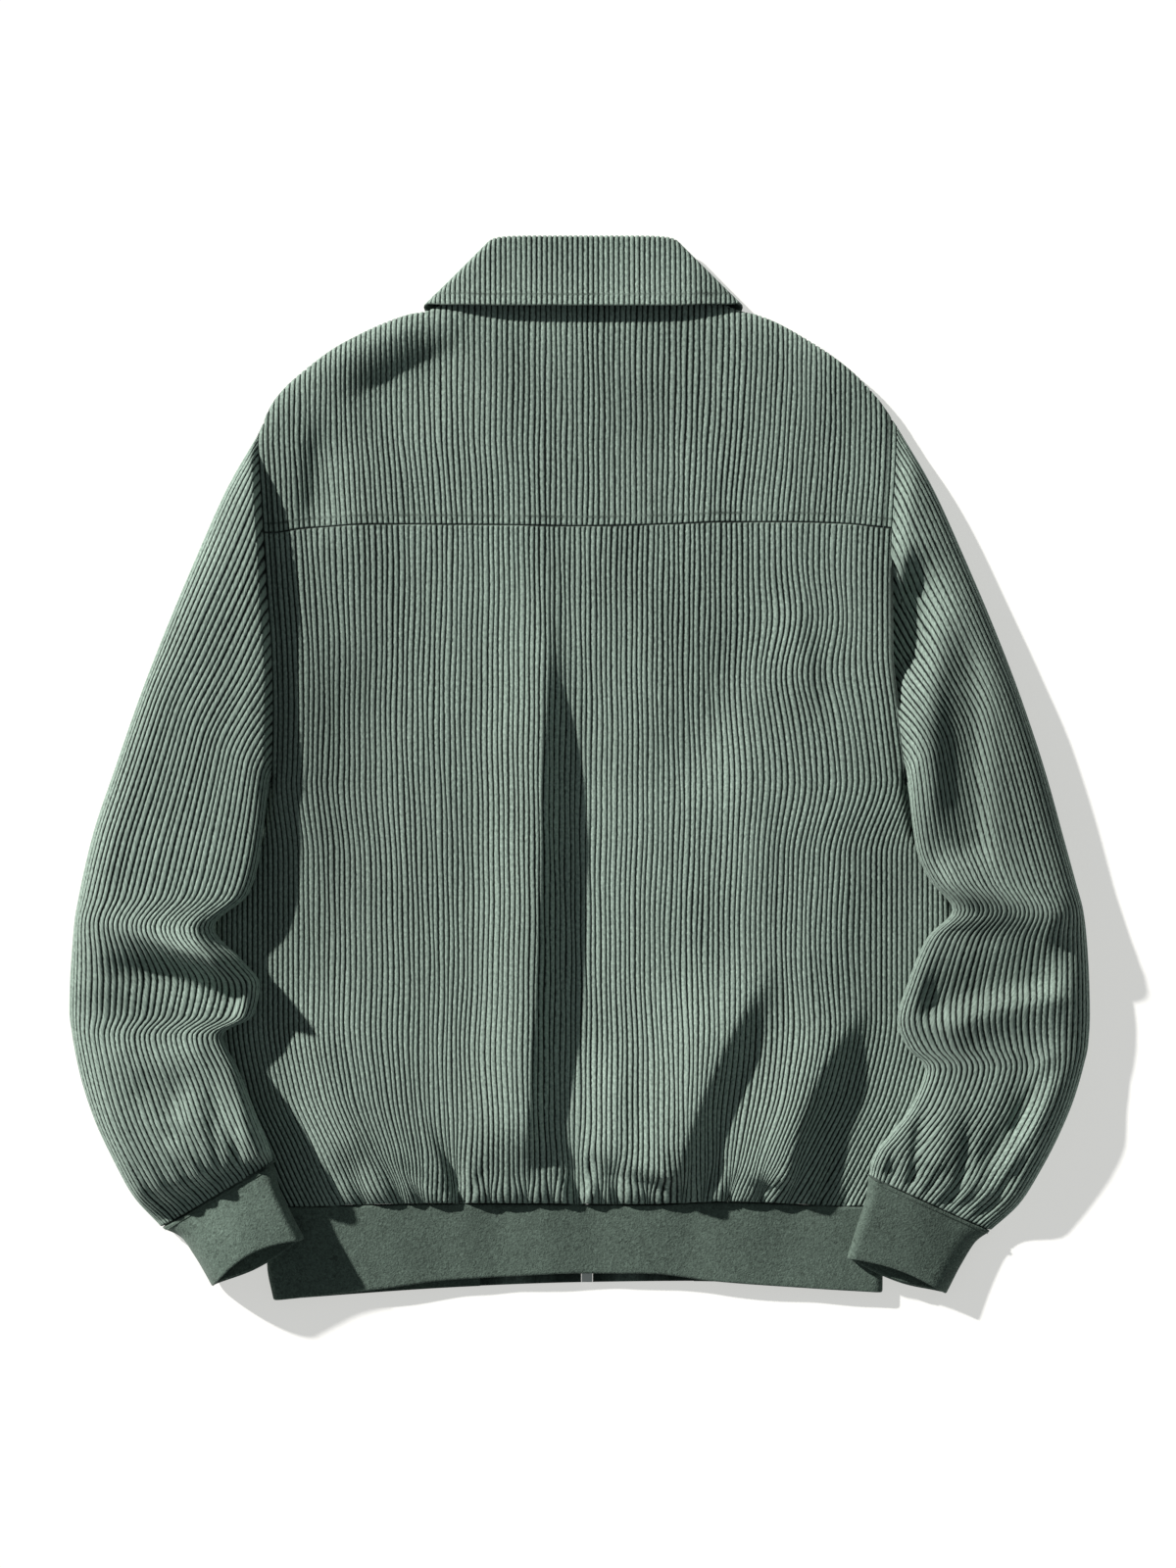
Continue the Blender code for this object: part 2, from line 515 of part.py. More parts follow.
def make_material(name, color, roughness, metallic=0.0, sheen=0.0):
    material = bpy.data.materials.new(name)
    material.use_nodes = True
    shader = material.node_tree.nodes["Principled BSDF"]
    shader.inputs["Base Color"].default_value = (*color, 1)
    shader.inputs["Roughness"].default_value = roughness
    shader.inputs["Metallic"].default_value = metallic
    shader.inputs["Sheen Weight"].default_value = sheen
    return material


# ---------- the body ----------


def roll_steps(count):
    """Shares of a roll's width at even angles, from its edge in."""
    return 1 - np.cos(np.linspace(0, math.pi / 2, count))


def make_back_panel(material):
    """Columns are even shares between the rolls of the side seams, rows are closest above the hem seam."""
    roll = SIDE_ROLL * roll_steps(4)[:-1]
    inset = np.concatenate([roll, np.full(BACK_COLUMNS, SIDE_ROLL), 2 * SIDE_ROLL - roll[::-1]])
    share = np.concatenate([np.zeros(3), np.linspace(0, 1, BACK_COLUMNS), np.ones(3)])

    def across(height):
        left, right = body_at("left", height), body_at("right", height)
        return left + inset + share * (right - left - 2 * SIDE_ROLL)

    low = edge_y(HEM_SEAM, across(HEM_Y)) + GAP / 2
    top = edge_y(YOKE_SEAM, across(YOKE_Y)) - GAP / 2
    y = low + (top - low) * np.array(BACK_ROWS)[:, None]
    x = across(y)
    z = back_z(x, y)
    for side in (0, -1):
        z[:, side] += GAP / 2 * side_turn(y[:, side], TURN_BACK)
    below = y[:, 0] <= UNDERARM_Y + TURN_BACK
    armhole, seam = np.where(~below)[0], np.where(below)[0]
    ends = [(0, slice(None), 1), (-1, slice(None), 1)]
    holds = ends + [(armhole, 0, 0), (armhole, -1, 0), (seam, 0, 2), (seam, -1, 2)]
    return wall("back_panel", stack(x, y, z), CLOTH, material, in_plane=holds)


def make_yoke(material):
    share = np.linspace(0, 1, YOKE_COLUMNS)

    def across(height):
        left, right = body_at("left", height), body_at("right", height)
        return left + share * (right - left)

    low = edge_y(YOKE_SEAM, across(YOKE_Y)) + GAP / 2
    top_x = across(SHOULDER_Y)
    top = edge_y(BACK_TOP, top_x) - GAP / 2 * (1 - neck_turn(top_x))
    slant = np.sqrt(1 + edge_slope(BACK_TOP, top_x) ** 2)
    drop = SHOULDER_ROLL * roll_steps(5)[::-1]
    under = top - drop[0] * slant
    y = np.concatenate([
        low + (under - low) * np.linspace(0, 1, YOKE_ROWS)[:-1, None],
        top - drop[:, None] * slant,
    ])
    x = across(y)
    z = back_z(x, y)
    z[-1] += GAP / 2 * neck_turn(top_x)
    folded = np.where(neck_turn(top_x) > 0.5)[0]
    open_neck = np.where(neck_turn(top_x) <= 0.5)[0]
    ends = [(slice(None), 0, 0), (slice(None), -1, 0)]
    holds = [(0, slice(None), 1), *ends, (-1, folded, 2), (-1, open_neck, 1)]
    return wall("back_yoke", stack(x, y, z), CLOTH, material, in_plane=holds)


def front_plan(side):
    """Plan points of a front, from its side edge to the zip; side -1 is the left one."""
    roll = FLOOR_ROLL * roll_steps(4)
    share = np.concatenate([np.zeros(3), np.linspace(0, 1, FRONT_COLUMNS)])
    inset = np.concatenate([roll[:-1], np.full(FRONT_COLUMNS, FLOOR_ROLL)])

    def across(height):
        outer = body_at("left" if side < 0 else "right", height)
        return outer - side * inset + share * (ZIP_X + side * (FRONT_EDGE + FLOOR_ROLL) - outer)

    top_x, bottom_x = across(SHOULDER_Y), across(HEM_Y)
    top = edge_y(FRONT_TOP, top_x) - GAP / 2 * (1 - neck_turn(top_x))
    slant = np.sqrt(1 + edge_slope(FRONT_TOP, top_x) ** 2)
    low = edge_y(HEM_SEAM, bottom_x) + GAP / 2
    drop = FLOOR_ROLL * roll_steps(4)[::-1]
    under = top - drop[0] * slant
    y = np.concatenate([
        low + (under - low) * np.array(FRONT_ROWS)[:, None],
        top - drop[:, None] * slant,
    ])
    return across(y), y, top_x


def make_front(name, side, material):
    """Its outer face lies on the floor."""
    x, y, top_x = front_plan(side)
    z = front_z(x, y)
    z[-1] -= GAP / 2 * neck_turn(top_x)
    z[:, 0] -= GAP / 2 * side_turn(y[:, 0], TURN_FRONT)
    grid = stack(x, y, z)
    if side < 0:
        grid = grid[:, ::-1]
    outer_column = -1 if side < 0 else 0
    armhole = np.where(y[:, 0] > UNDERARM_Y + TURN_FRONT)[0]
    seam = np.where(y[:, 0] <= UNDERARM_Y + TURN_FRONT)[0]
    folded = np.where((neck_turn(top_x) > 0.5)[::side])[0]
    holds = [(0, slice(None), 1), (armhole, outer_column, 0), (seam, outer_column, 2), (-1, folded, 2)]
    return wall(name, grid, CLOTH, material, in_plane=holds)


# ---------- sleeves and cuffs ----------


def ring_columns(upper, lower):
    """Shares across a flattened tube, from the outer edge over the top to the inner edge and back below.

    Returns the shares and, for each column, whether it is on the upper layer.
    """
    outer = OUTER_ROLL * roll_steps(5)[:-1]
    middle = np.linspace(OUTER_ROLL, 1 - INNER_ROLL, upper)
    inner = 1 - INNER_ROLL * roll_steps(4)[:-1][::-1]
    back = 1 - LOWER_ROLL * roll_steps(4)[1:]
    floor = np.linspace(1 - LOWER_ROLL, LOWER_ROLL, lower)[1:-1]
    home = LOWER_ROLL * roll_steps(4)[::-1][:-1]
    shares = np.concatenate([outer, middle, inner, back, floor, home])
    on_top = np.arange(len(shares)) < len(outer) + len(middle) + len(inner)
    return shares, on_top


def row_points(rows, at, share):
    keys = np.arange(len(rows), dtype=float)
    outer_x, outer_y, inner_x, inner_y = (
        read(keys, column(rows, name), at) for name in ("outer_x", "outer_y", "inner_x", "inner_y")
    )
    return outer_x + (inner_x - outer_x) * share, outer_y + (inner_y - outer_y) * share


def armhole_start(rows, side, share):
    """Where each column of the sleeve crosses the armhole seam."""
    at = np.linspace(0, UNDERARM_ROW, 620)
    starts = []
    for one in share:
        x, y = row_points(rows, at, one)
        seam = abs(body_at("left" if side < 0 else "right", y))
        gap = ARMHOLE_GAP + (UNDERARM_GAP - ARMHOLE_GAP) * ease((GAP_WIDENS - y) / GAP_WIDENING)
        outside = side * x - seam - gap
        crossing = np.where(outside[:-1] < 0)[0]
        starts.append(at[crossing[-1] + 1] if len(crossing) else 0.0)
    return np.array(starts)


def tube_heights(x, y, share, on_top, top, support):
    inner_z = (support + top) / 2
    upper = top - (top - OUTER_Z) * (1 - rounded(share / OUTER_ROLL))
    upper = upper - (top - inner_z) * (1 - rounded((1 - share) / INNER_ROLL))
    lower = support + (OUTER_Z - support) * (1 - rounded(share / LOWER_ROLL))
    lower = lower + (inner_z - support) * (1 - rounded((1 - share) / LOWER_ROLL))
    return np.where(on_top, upper, lower)


def make_sleeve(name, side, rows, folds, dips, rise, material):
    share, on_top = ring_columns(10, 5)
    last = len(rows) - 1.0
    start = armhole_start(rows, side, share)
    at = np.concatenate([
        start + (EVEN_FROM - start) * np.array(CAP_ROWS)[:, None],
        np.repeat(np.linspace(EVEN_FROM, last, EVEN_ROWS)[:, None], len(share), axis=1),
    ])
    x, y = row_points(rows, at, share)
    x[-1] += side * GAP
    y[-1] += GAP
    top = read(np.arange(len(rows), dtype=float), column(rows, "top"), at)
    support = support_z(x, y)
    near_cuff = ease((at - (last - CUFF_REACH)) / CUFF_REACH)
    top = top + (loft_z(x, y) + rise - top) * near_cuff
    middle = ease(share / FOLDS_OUTER) * ease((1 - share) / FOLDS_INNER)
    top = top + fold_height(x, y, folds) * middle * (1 - near_cuff)
    puff = ease((at - last + PUFF_LONG) / PUFF_RISE)
    puff = puff * (1 - PUFF_DROP * ease((at - last + PUFF_END) / PUFF_END))
    deep = CUFF_GATHERS_LEFT if side < 0 else CUFF_GATHERS_RIGHT
    for gather in CUFF_GATHERS:
        top = top - deep * puff * np.exp(-(((share - gather) / CUFF_GATHER_WIDTH) ** 2))
    z = tube_heights(x, y, share, on_top, top, support)
    along = np.hypot(x - x[0], y - y[0])
    seam_z = np.where(on_top, back_z(x[0], y[0]), front_z(x[0], y[0]))
    joined = ease(along / (JOIN_LEFT if side < 0 else JOIN_RIGHT))
    z = seam_z + (z - seam_z) * joined
    z = z + fold_height(x, y, dips) * ease(along / DIP_START) * on_top
    z = np.where(on_top, np.maximum(z, support + LEAST_RISE), z)
    grid = stack(x, y, z)
    if side < 0:
        grid = grid[:, ::-1]
    holds = [(0, slice(None), 0)]
    return wall(name, grid, CLOTH, material, ring=True, in_plane=holds)


def make_cuff(name, side, rows, material):
    share, on_top = ring_columns(7, 5)
    last = len(rows) - 1.0
    at = np.repeat(np.linspace(0, last, 5)[:, None], len(share), axis=1)
    x, y = row_points(rows, at, share)
    drawn_in = CUFF_BOW_LEFT if side < 0 else CUFF_BOW_RIGHT
    bow = np.where(on_top, drawn_in, -CUFF_BOW_LOWER) * np.sin(math.pi * share) * (at / last) ** 2
    x = x + side * bow * CUFF_BOW_RUN[0]
    y = y + bow * CUFF_BOW_RUN[1]
    support = support_z(x, y)
    rise = read(np.arange(len(rows), dtype=float), column(rows, "top"), at)
    z = tube_heights(x, y, share, on_top, loft_z(x, y) + rise, support)
    grid = stack(x, y, z)
    if side < 0:
        grid = grid[:, ::-1]
    return wall(name, grid, KNIT, material, ring=True)


# ---------- hem band, tabs, collar ----------


def band_side(name, y):
    return read(column(BAND_SIDE, "y"), column(BAND_SIDE, name), y)


def make_hem_band(material):
    """From the left tab under the front, over the back and round to the right tab."""
    roll = roll_steps(4)
    low_curve = SIDE_Z * (1 - rounded(roll))
    high_curve = SIDE_Z + (BAND_Z - SIDE_Z) * rounded(roll)
    tab_left, tab_right = ZIP_X - TAB_SIDE - GAP, ZIP_X + TAB_SIDE + GAP
    under, over = np.linspace(0, 1, BAND_UNDER_COLUMNS), np.linspace(0, 1, BAND_OVER_COLUMNS)
    stretches = (
        (FRONT_BOTTOM, lambda a, b: tab_left + (a + BAND_ROLL - tab_left) * under, 0.0),
        (FRONT_BOTTOM, lambda a, b: a + BAND_ROLL * roll[:-1][::-1], low_curve[:-1][::-1]),
        (BAND_BOTTOM, lambda a, b: a + BAND_ROLL * roll[1:-1], high_curve[1:-1]),
        (BAND_BOTTOM, lambda a, b: a + BAND_ROLL + (b - a - 2 * BAND_ROLL) * over, BAND_Z),
        (BAND_BOTTOM, lambda a, b: b - BAND_ROLL * roll[1:-1][::-1], high_curve[1:-1][::-1]),
        (FRONT_BOTTOM, lambda a, b: b - BAND_ROLL * roll[:-1], low_curve[:-1]),
        (FRONT_BOTTOM, lambda a, b: b - BAND_ROLL + (tab_right - b + BAND_ROLL) * under, 0.0),
    )
    up = np.linspace(0, 1, BAND_ROWS)[:, None]
    parts = []
    for bottom, place, z in stretches:
        x = place(BAND_SIDE[-1].left, BAND_SIDE[-1].right)
        for _ in range(3):
            low = edge_y(bottom, x)
            y = low + (edge_y(HEM_SEAM, x) - GAP - low) * up
            wide = place(band_side("left", y), band_side("right", y))
            x = wide.mean(axis=0)
        parts.append(stack(wide, y, np.broadcast_to(z, wide.shape)))
    grid = np.concatenate(parts, axis=1)
    return wall("hem_band", grid, KNIT, material, in_plane=[(-1, slice(None), 1), (0, slice(None), 1)])


def make_hem_tab(name, side, material):
    inner, outer = ZIP_X + side * FRONT_EDGE, ZIP_X + side * TAB_SIDE
    x_line = np.linspace(inner, outer, 5)
    down = np.linspace(0, 1, 3)[:, None]
    high = edge_y(HEM_SEAM, x_line) - GAP / 2
    low = edge_y(FRONT_BOTTOM, x_line)
    y = high + (low - high) * down
    grid = stack(np.broadcast_to(x_line, y.shape), y, np.zeros_like(y))
    if side < 0:
        grid = grid[:, ::-1]
    return wall(name, grid[::-1][:, ::-1], CLOTH, material)


def collar_section(station, side):
    """Wall middle of the collar at one station: neck, stand, roll line, fall, edge."""
    turn = math.radians(station.turn)
    neck = np.array([station.neck_x, station.neck_y])
    if station.turn in (0, 180):
        panel = BACK_TOP if station.turn == 0 else FRONT_TOP
        spare = GAP if station.turn == 0 else FRONT_NECK_GAP
        neck[1] = edge_y(panel, neck[0]) + spare * math.hypot(1, edge_slope(panel, neck[0]))
    roll = np.array([station.roll_x, station.roll_y])
    edge = np.array([station.edge_x, station.edge_y])
    outward = np.array([side * TIP_OUTWARD[0], TIP_OUTWARD[1]]) * math.sin(turn)
    between = FALL_RADIUS - STAND_RADIUS
    stand_z = COLLAR_Z + STAND_RADIUS * math.cos(turn)
    fall_z = COLLAR_Z + FALL_RADIUS * math.cos(turn)
    run = (roll - neck) / np.linalg.norm(roll - neck)
    points = []
    for share in STAND_ROWS:
        flat = neck + (roll - neck - run * between / 2) * share - outward * between
        points.append((*flat, stand_z))
    middle = np.array([*(roll - run * between / 2 - outward * between / 2), (stand_z + fall_z) / 2])
    across = np.array([*(outward), math.cos(turn)])
    across = across / np.linalg.norm(across)
    forward = np.array([*run, 0.0])
    for angle in ROLL_ANGLES:
        a = math.radians(angle)
        points.append(tuple(middle + between / 2 * (forward * math.sin(a) - across * math.cos(a))))
    start = roll - run * between / 2
    for share in FALL_ROWS:
        flat = start + (edge - start) * share
        points.append((*flat, fall_z + station.lift * share**2))
    return points


def mirrored(station):
    """The same station on the right half, about the collar's own middle."""
    flip = 2 * COLLAR_MIDDLE.neck_x
    return station._replace(
        neck_x=flip - station.neck_x, roll_x=flip - station.roll_x, edge_x=flip - station.edge_x
    )


def make_collar(material):
    left = [collar_section(station, -1) for station in reversed(COLLAR_LEFT)]
    middle = [collar_section(COLLAR_MIDDLE, 1)]
    right = [collar_section(mirrored(station), 1) for station in COLLAR_LEFT]
    centre = np.array(left + middle + right)
    outer = centre + normals_of(centre, False) * CLOTH / 2
    return wall("collar", outer, CLOTH, material)


# ---------- zip ----------


def box_points(size, middle):
    half = np.array(size) / 2
    corners = [(sx, sy, sz) for sz in (-1, 1) for sy in (-1, 1) for sx in (-1, 1)]
    return [tuple(np.array(middle) + half * corner) for corner in corners]


BOX_FACES = [(0, 2, 3, 1), (4, 5, 7, 6), (0, 1, 5, 4), (2, 6, 7, 3), (0, 4, 6, 2), (1, 3, 7, 5)]


def make_block(name, size, middle, material):
    return finish_mesh(name, box_points(size, middle), BOX_FACES, material)


def join(target, others):
    """Unions the others into the target and leaves only the target."""
    for other in others:
        union = target.modifiers.new("union", "BOOLEAN")
        union.operation = "UNION"
        union.object = other
        other.hide_render = True
        other.display_type = "WIRE"


def make_tape(name, side, material):
    front_y = front_plan(side)[1][:, -1]
    inside = front_y[(front_y > TAPE_BOTTOM + TAPE_FREE) & (front_y < ZIP_TOP - TAPE_FREE)]
    y_line = np.concatenate([[TAPE_BOTTOM], inside, [ZIP_TOP]])
    x_line = ZIP_X + side * np.array([TAPE_EDGE, TAPE_WIDTH])
    x, y = np.meshgrid(x_line, y_line)
    z = leaf_lift(x, y) + CLOTH + GAP + TAPE
    grid = stack(x, y, z)
    if side < 0:
        grid = grid[:, ::-1]
    return wall(name, grid, TAPE, material)


def make_slider(material):
    plate = make_block("zip_slider", SLIDER_PLATE, (ZIP_X, SLIDER_Y, SLIDER_LOW_Z), material)
    high = make_block("slider_top_plate", SLIDER_PLATE, (ZIP_X, SLIDER_Y, SLIDER_HIGH_Z), material)
    tall = SLIDER_HIGH_Z - SLIDER_LOW_Z
    post_size = (SLIDER_POST[0], SLIDER_POST[1], tall)
    post_place = (ZIP_X, SLIDER_Y + SLIDER_POST_UP, SLIDER_LOW_Z + tall / 2)
    post = make_block("slider_post", post_size, post_place, material)
    ears = []
    for side in (-1, 1):
        place = (ZIP_X + side * EAR_SPREAD, PULL_Y + EAR_UP, SLIDER_LOW_Z - EAR_DROP)
        ears.append(make_block("slider_ear", EAR, place, material))
    join(plate, [high, post, *ears])
    return plate


def make_pull(material):
    """A flat tab on a round eye; its origin lies on the hinge axis, along X."""
    sides = PULL_EYE_SIDES
    points, faces = [], []
    for end in (-1, 1):
        for i in range(sides):
            a = 2 * math.pi * i / sides
            points.append((end * PULL_EYE_W / 2, PULL_EYE_R * math.cos(a), PULL_EYE_R * math.sin(a)))
    faces.append(tuple(reversed(range(sides))))
    faces.append(tuple(range(sides, 2 * sides)))
    for i in range(sides):
        j = (i + 1) % sides
        faces.append((i, j, j + sides, i + sides))
    eye = finish_mesh("zip_pull", points, faces, material)
    neck_size = (PULL_EYE_W, PULL_NECK, PULL_THICK)
    neck = make_block("pull_neck", neck_size, (0, PULL_NECK_MIDDLE, PULL_DROP), material)
    tab_size = (PULL_WIDTH, PULL_LENGTH - PULL_NECK, PULL_THICK)
    tab = make_block("pull_tab", tab_size, (0, -PULL_NECK - tab_size[1] / 2, PULL_DROP), material)
    join(eye, [neck, tab])
    hinge = bpy.data.objects.new("pull_hinge", None)
    bpy.context.collection.objects.link(hinge)
    hinge.location = (ZIP_X * MM, PULL_Y * MM, PULL_Z * MM)
    for piece in (eye, neck, tab):
        piece.parent = hinge
    return eye


# ---------- the jacket ----------


def main():
    for old in list(bpy.data.objects):
        bpy.data.objects.remove(old, do_unlink=True)
    corduroy = make_material("sage_corduroy", (0.165, 0.215, 0.185), 0.95, sheen=0.3)
    knit = make_material("dark_sage_knit", (0.085, 0.115, 0.095), 0.92, sheen=0.2)
    woven = make_material("zip_tape_weave", (0.06, 0.08, 0.068), 0.9)
    metal = make_material("zip_metal", (0.62, 0.62, 0.6), 0.35, metallic=1.0)
    make_yoke(corduroy)
    make_back_panel(corduroy)
    make_front("front_left", -1, corduroy)
    make_front("front_right", 1, corduroy)
    left_folds = SLEEVE_FOLDS_LEFT, SLEEVE_DIPS_LEFT
    right_folds = SLEEVE_FOLDS_RIGHT, SLEEVE_DIPS_RIGHT
    make_sleeve("sleeve_left", -1, SLEEVE_LEFT, *left_folds, CUFF_LEFT[0].top, corduroy)
    make_sleeve("sleeve_right", 1, SLEEVE_RIGHT, *right_folds, CUFF_RIGHT[0].top, corduroy)
    make_cuff("cuff_left", -1, CUFF_LEFT, knit)
    make_cuff("cuff_right", 1, CUFF_RIGHT, knit)
    make_hem_band(knit)
    make_hem_tab("hem_tab_left", -1, corduroy)
    make_hem_tab("hem_tab_right", 1, corduroy)
    make_collar(corduroy)
    make_tape("zip_tape_left", -1, woven)
    make_tape("zip_tape_right", 1, woven)
    make_block("zip_box", BOX, BOX_MIDDLE, metal)
    make_slider(metal)
    make_pull(metal)


main()
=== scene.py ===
"""A corduroy jacket lying on its front: its cloth, stitching and zip, and the studio around it.

Sizes are millimetres in the tables and metres in the meshes. X runs to the right sleeve as the jacket
lies, Y to the collar, Z up.
"""

import math
from collections import namedtuple

import bpy
import numpy as np
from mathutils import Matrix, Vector

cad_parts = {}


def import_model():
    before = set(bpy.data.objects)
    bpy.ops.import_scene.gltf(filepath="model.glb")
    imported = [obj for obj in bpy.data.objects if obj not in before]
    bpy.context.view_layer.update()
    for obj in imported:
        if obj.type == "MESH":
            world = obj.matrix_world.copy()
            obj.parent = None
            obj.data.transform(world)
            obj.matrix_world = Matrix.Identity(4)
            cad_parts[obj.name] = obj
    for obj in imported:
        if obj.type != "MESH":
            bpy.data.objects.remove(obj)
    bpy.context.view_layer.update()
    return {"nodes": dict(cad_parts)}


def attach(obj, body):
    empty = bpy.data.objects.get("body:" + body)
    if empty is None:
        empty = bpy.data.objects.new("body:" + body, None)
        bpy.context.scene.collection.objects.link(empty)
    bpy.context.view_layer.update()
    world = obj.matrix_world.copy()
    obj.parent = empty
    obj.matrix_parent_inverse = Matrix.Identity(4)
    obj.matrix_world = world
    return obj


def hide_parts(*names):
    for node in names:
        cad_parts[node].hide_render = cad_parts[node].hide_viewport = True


MM = 0.001
JACKET = "jacket"

# ---------- sizes of the jacket ----------

CLOTH = 1.6  # corduroy wall
KNIT = 2.6  # rib knit wall of cuffs and band
TAPE = 1.0
GAP = 0.3  # seams are gaps between walls

SIDE_Z = 4.6  # heights of the folded edges
SIDE_ROLL = 8.0
SHOULDER_Z = 7.7
SHOULDER_ROLL = 14.0
FLOOR_ROLL = 7.0
CUFF_REACH = 1.3  # rows over which a sleeve comes down to its cuff's height
DIP_START = 6.0  # from the armhole seam to the full depth of a dip
LEAST_RISE = 4.8  # a sleeve's upper layer is never closer to its lower one
SUPPORT = 10.6  # a sleeve's lower face where it lies on the body
LEAF_LIFT = 2.0
SUPPORT_CLIMB = (38, 24)  # start outside the body and width of the climb on to it
LOFT_CLIMB = (80, 66)
STEEPEST = 2.3  # slope at which a shoulder line still sets the roll across it
FOLD_RISE = 30.0  # folds grow to their full height over this distance from an edge
FOLD_TOP = 322.0
BACK_TURN, FRONT_TURN = 12, 8  # over these lengths the side edge opens above the underarm
UNDERARM_EASE = 20
LEAF_UP, LEAF_SIDE = (130, 45), (175, 50)  # where the fronts lift under the collar, and over what length

# At each height up the jacket: its side edges, how high the back lies in its middle and beside the edges,
# and how far in from an edge it starts to rise
Body = namedtuple("Body", "y left right middle beside tuck")
BODY = (
    Body(-298, -208.5, 206.0, 11.5, 9.5, 10),
    Body(-293, -211.0, 208.5, 17.0, 9.5, 12),
    Body(-285, -215.0, 213.0, 20.0, 9.5, 14),
    Body(-260, -226.0, 226.0, 21.0, 9.5, 22),
    Body(-220, -243.0, 245.0, 20.0, 9.5, 34),
    Body(-170, -251.0, 255.0, 19.0, 9.5, 38),
    Body(-110, -250.0, 256.0, 18.0, 9.5, 36),
    Body(-80, -243.0, 250.0, 17.5, 9.5, 30),
    Body(-60, -230.0, 236.0, 17.0, 9.5, 18),
    Body(-45, -217.0, 227.5, 17.0, 9.7, 8),
    Body(-30, -213.6, 225.0, 17.0, 10.2, 2),
    Body(-20, -212.0, 223.4, 16.8, 10.8, 1),
    Body(-8, -210.4, 222.0, 16.5, 11.8, 0),
    Body(0, -209.6, 221.3, 16.5, 12.6, 0),
    Body(40, -208.6, 216.0, 16.0, 15.0, 0),
    Body(80, -209.6, 211.5, 16.0, 15.5, 0),
    Body(123, -212.6, 211.3, 16.0, 15.5, 0),
    Body(163, -215.2, 212.7, 16.0, 15.0, 0),
    Body(200, -217.6, 215.0, 16.0, 14.0, 0),
    Body(228, -219.4, 216.3, 15.5, 13.0, 0),
    Body(233, -219.4, 216.5, 15.5, 13.0, 0),
    Body(300, -219.4, 216.5, 14.0, 13.0, 0),
    Body(320, -219.4, 216.5, 13.0, 13.0, 0),
)
UNDERARM_Y = -8.0
BULGE_Y = -170.0  # here the body is widest
CLIMB = 70.0  # width in which the back rises from beside its edges to its middle
HEM_Y, YOKE_Y, SHOULDER_Y = -297.0, 165.0, 320.0  # heights at which wales meet the panels' ends

Edge = namedtuple("Edge", "x y")
SHOULDER_LEFT = (
    Edge(-219.4, 228.0), Edge(-208.7, 250.6), Edge(-189.0, 270.7), Edge(-160.5, 290.8),
    Edge(-116.0, 309.8), Edge(-106.0, 311.6), Edge(-97.0, 315.0), Edge(-89.0, 321.5), Edge(-81.0, 331.5),
)
SHOULDER_RIGHT = (
    Edge(86.0, 331.5), Edge(94.0, 321.5), Edge(102.0, 315.0), Edge(111.0, 311.6), Edge(121.0, 309.4),
    Edge(157.8, 291.0), Edge(185.9, 270.7), Edge(204.7, 250.6), Edge(216.5, 233.0),
)
BACK_NECK = (Edge(-60, 330.0), Edge(-30, 328.6), Edge(2, 328.0), Edge(35, 328.6), Edge(64, 330.0))
FRONT_NECK = (
    Edge(-72, 322), Edge(-50, 292), Edge(-22, 268), Edge(1, 258),
    Edge(9, 258), Edge(32, 268), Edge(58, 292), Edge(77, 322),
)
BACK_TOP = SHOULDER_LEFT + BACK_NECK + SHOULDER_RIGHT
FRONT_TOP = SHOULDER_LEFT + FRONT_NECK + SHOULDER_RIGHT
NECK_POINTS = (-81.0, 86.0)  # where the shoulders end at the neck
NECK_TURN = 11.0  # width in which their fold opens

YOKE_SEAM = (
    Edge(-206, 160.5), Edge(-181, 164.0), Edge(-142, 166.0), Edge(-50, 165.5), Edge(0, 164.8),
    Edge(64, 166.2), Edge(96, 167.5), Edge(140, 167.5), Edge(180, 166.4), Edge(212, 163.5),
)
HEM_SEAM = (
    Edge(-214, -298.0), Edge(-193, -299.2), Edge(-158, -298.0), Edge(-79, -296.8),
    Edge(46, -297.5), Edge(96, -295.5), Edge(191, -298.8), Edge(210, -297.5),
)
BAND_BOTTOM = (
    Edge(-210, -362.9), Edge(-137, -355.1), Edge(-92, -349.1), Edge(-47, -346.4), Edge(-2, -344.4),
    Edge(46, -344.4), Edge(91, -349.7), Edge(145, -353.8), Edge(206, -357.5),
)
FRONT_BOTTOM = (Edge(-210, -362.9), Edge(-75, -353.8), Edge(5, -351.0), Edge(78, -350.2), Edge(206, -357.5))
BandSide = namedtuple("BandSide", "y left right")
BAND_SIDE = (
    BandSide(-363, -209.0, 206.7), BandSide(-338, -213.4, 206.9), BandSide(-315, -212.0, 206.7),
    BandSide(-297, -208.5, 206.0),
)
BAND_GUESS = (-208.0, 206.0)  # its side edges, before their rows are known
BAND_Z = 9.5
BAND_ROLL = 7.0
BAND_NEAR = (0.0, 0.4, 1.0, 1.8)  # rows close to its seam and its lower edge
Wave = namedtuple("Wave", "x height reach")
BAND_WAVES = (
    Wave(-168, -0.7, 14), Wave(-128, 0.9, 18), Wave(-92, -0.6, 10), Wave(-56, -1.5, 14), Wave(-22, 0.8, 12),
    Wave(10, -1.2, 12), Wave(46, 0.7, 16), Wave(78, -1.0, 12), Wave(112, 0.8, 16), Wave(146, -1.2, 14),
    Wave(176, 0.6, 12),
)
WAVE_LOW, WAVE_HIGH = -350, 52  # the waves grow from this height, over this length
WAVE_LEAST = 0.45  # share of their height below that
WAVE_SIDE = (8, 20)  # this close to the sides there are none, and they grow over this width

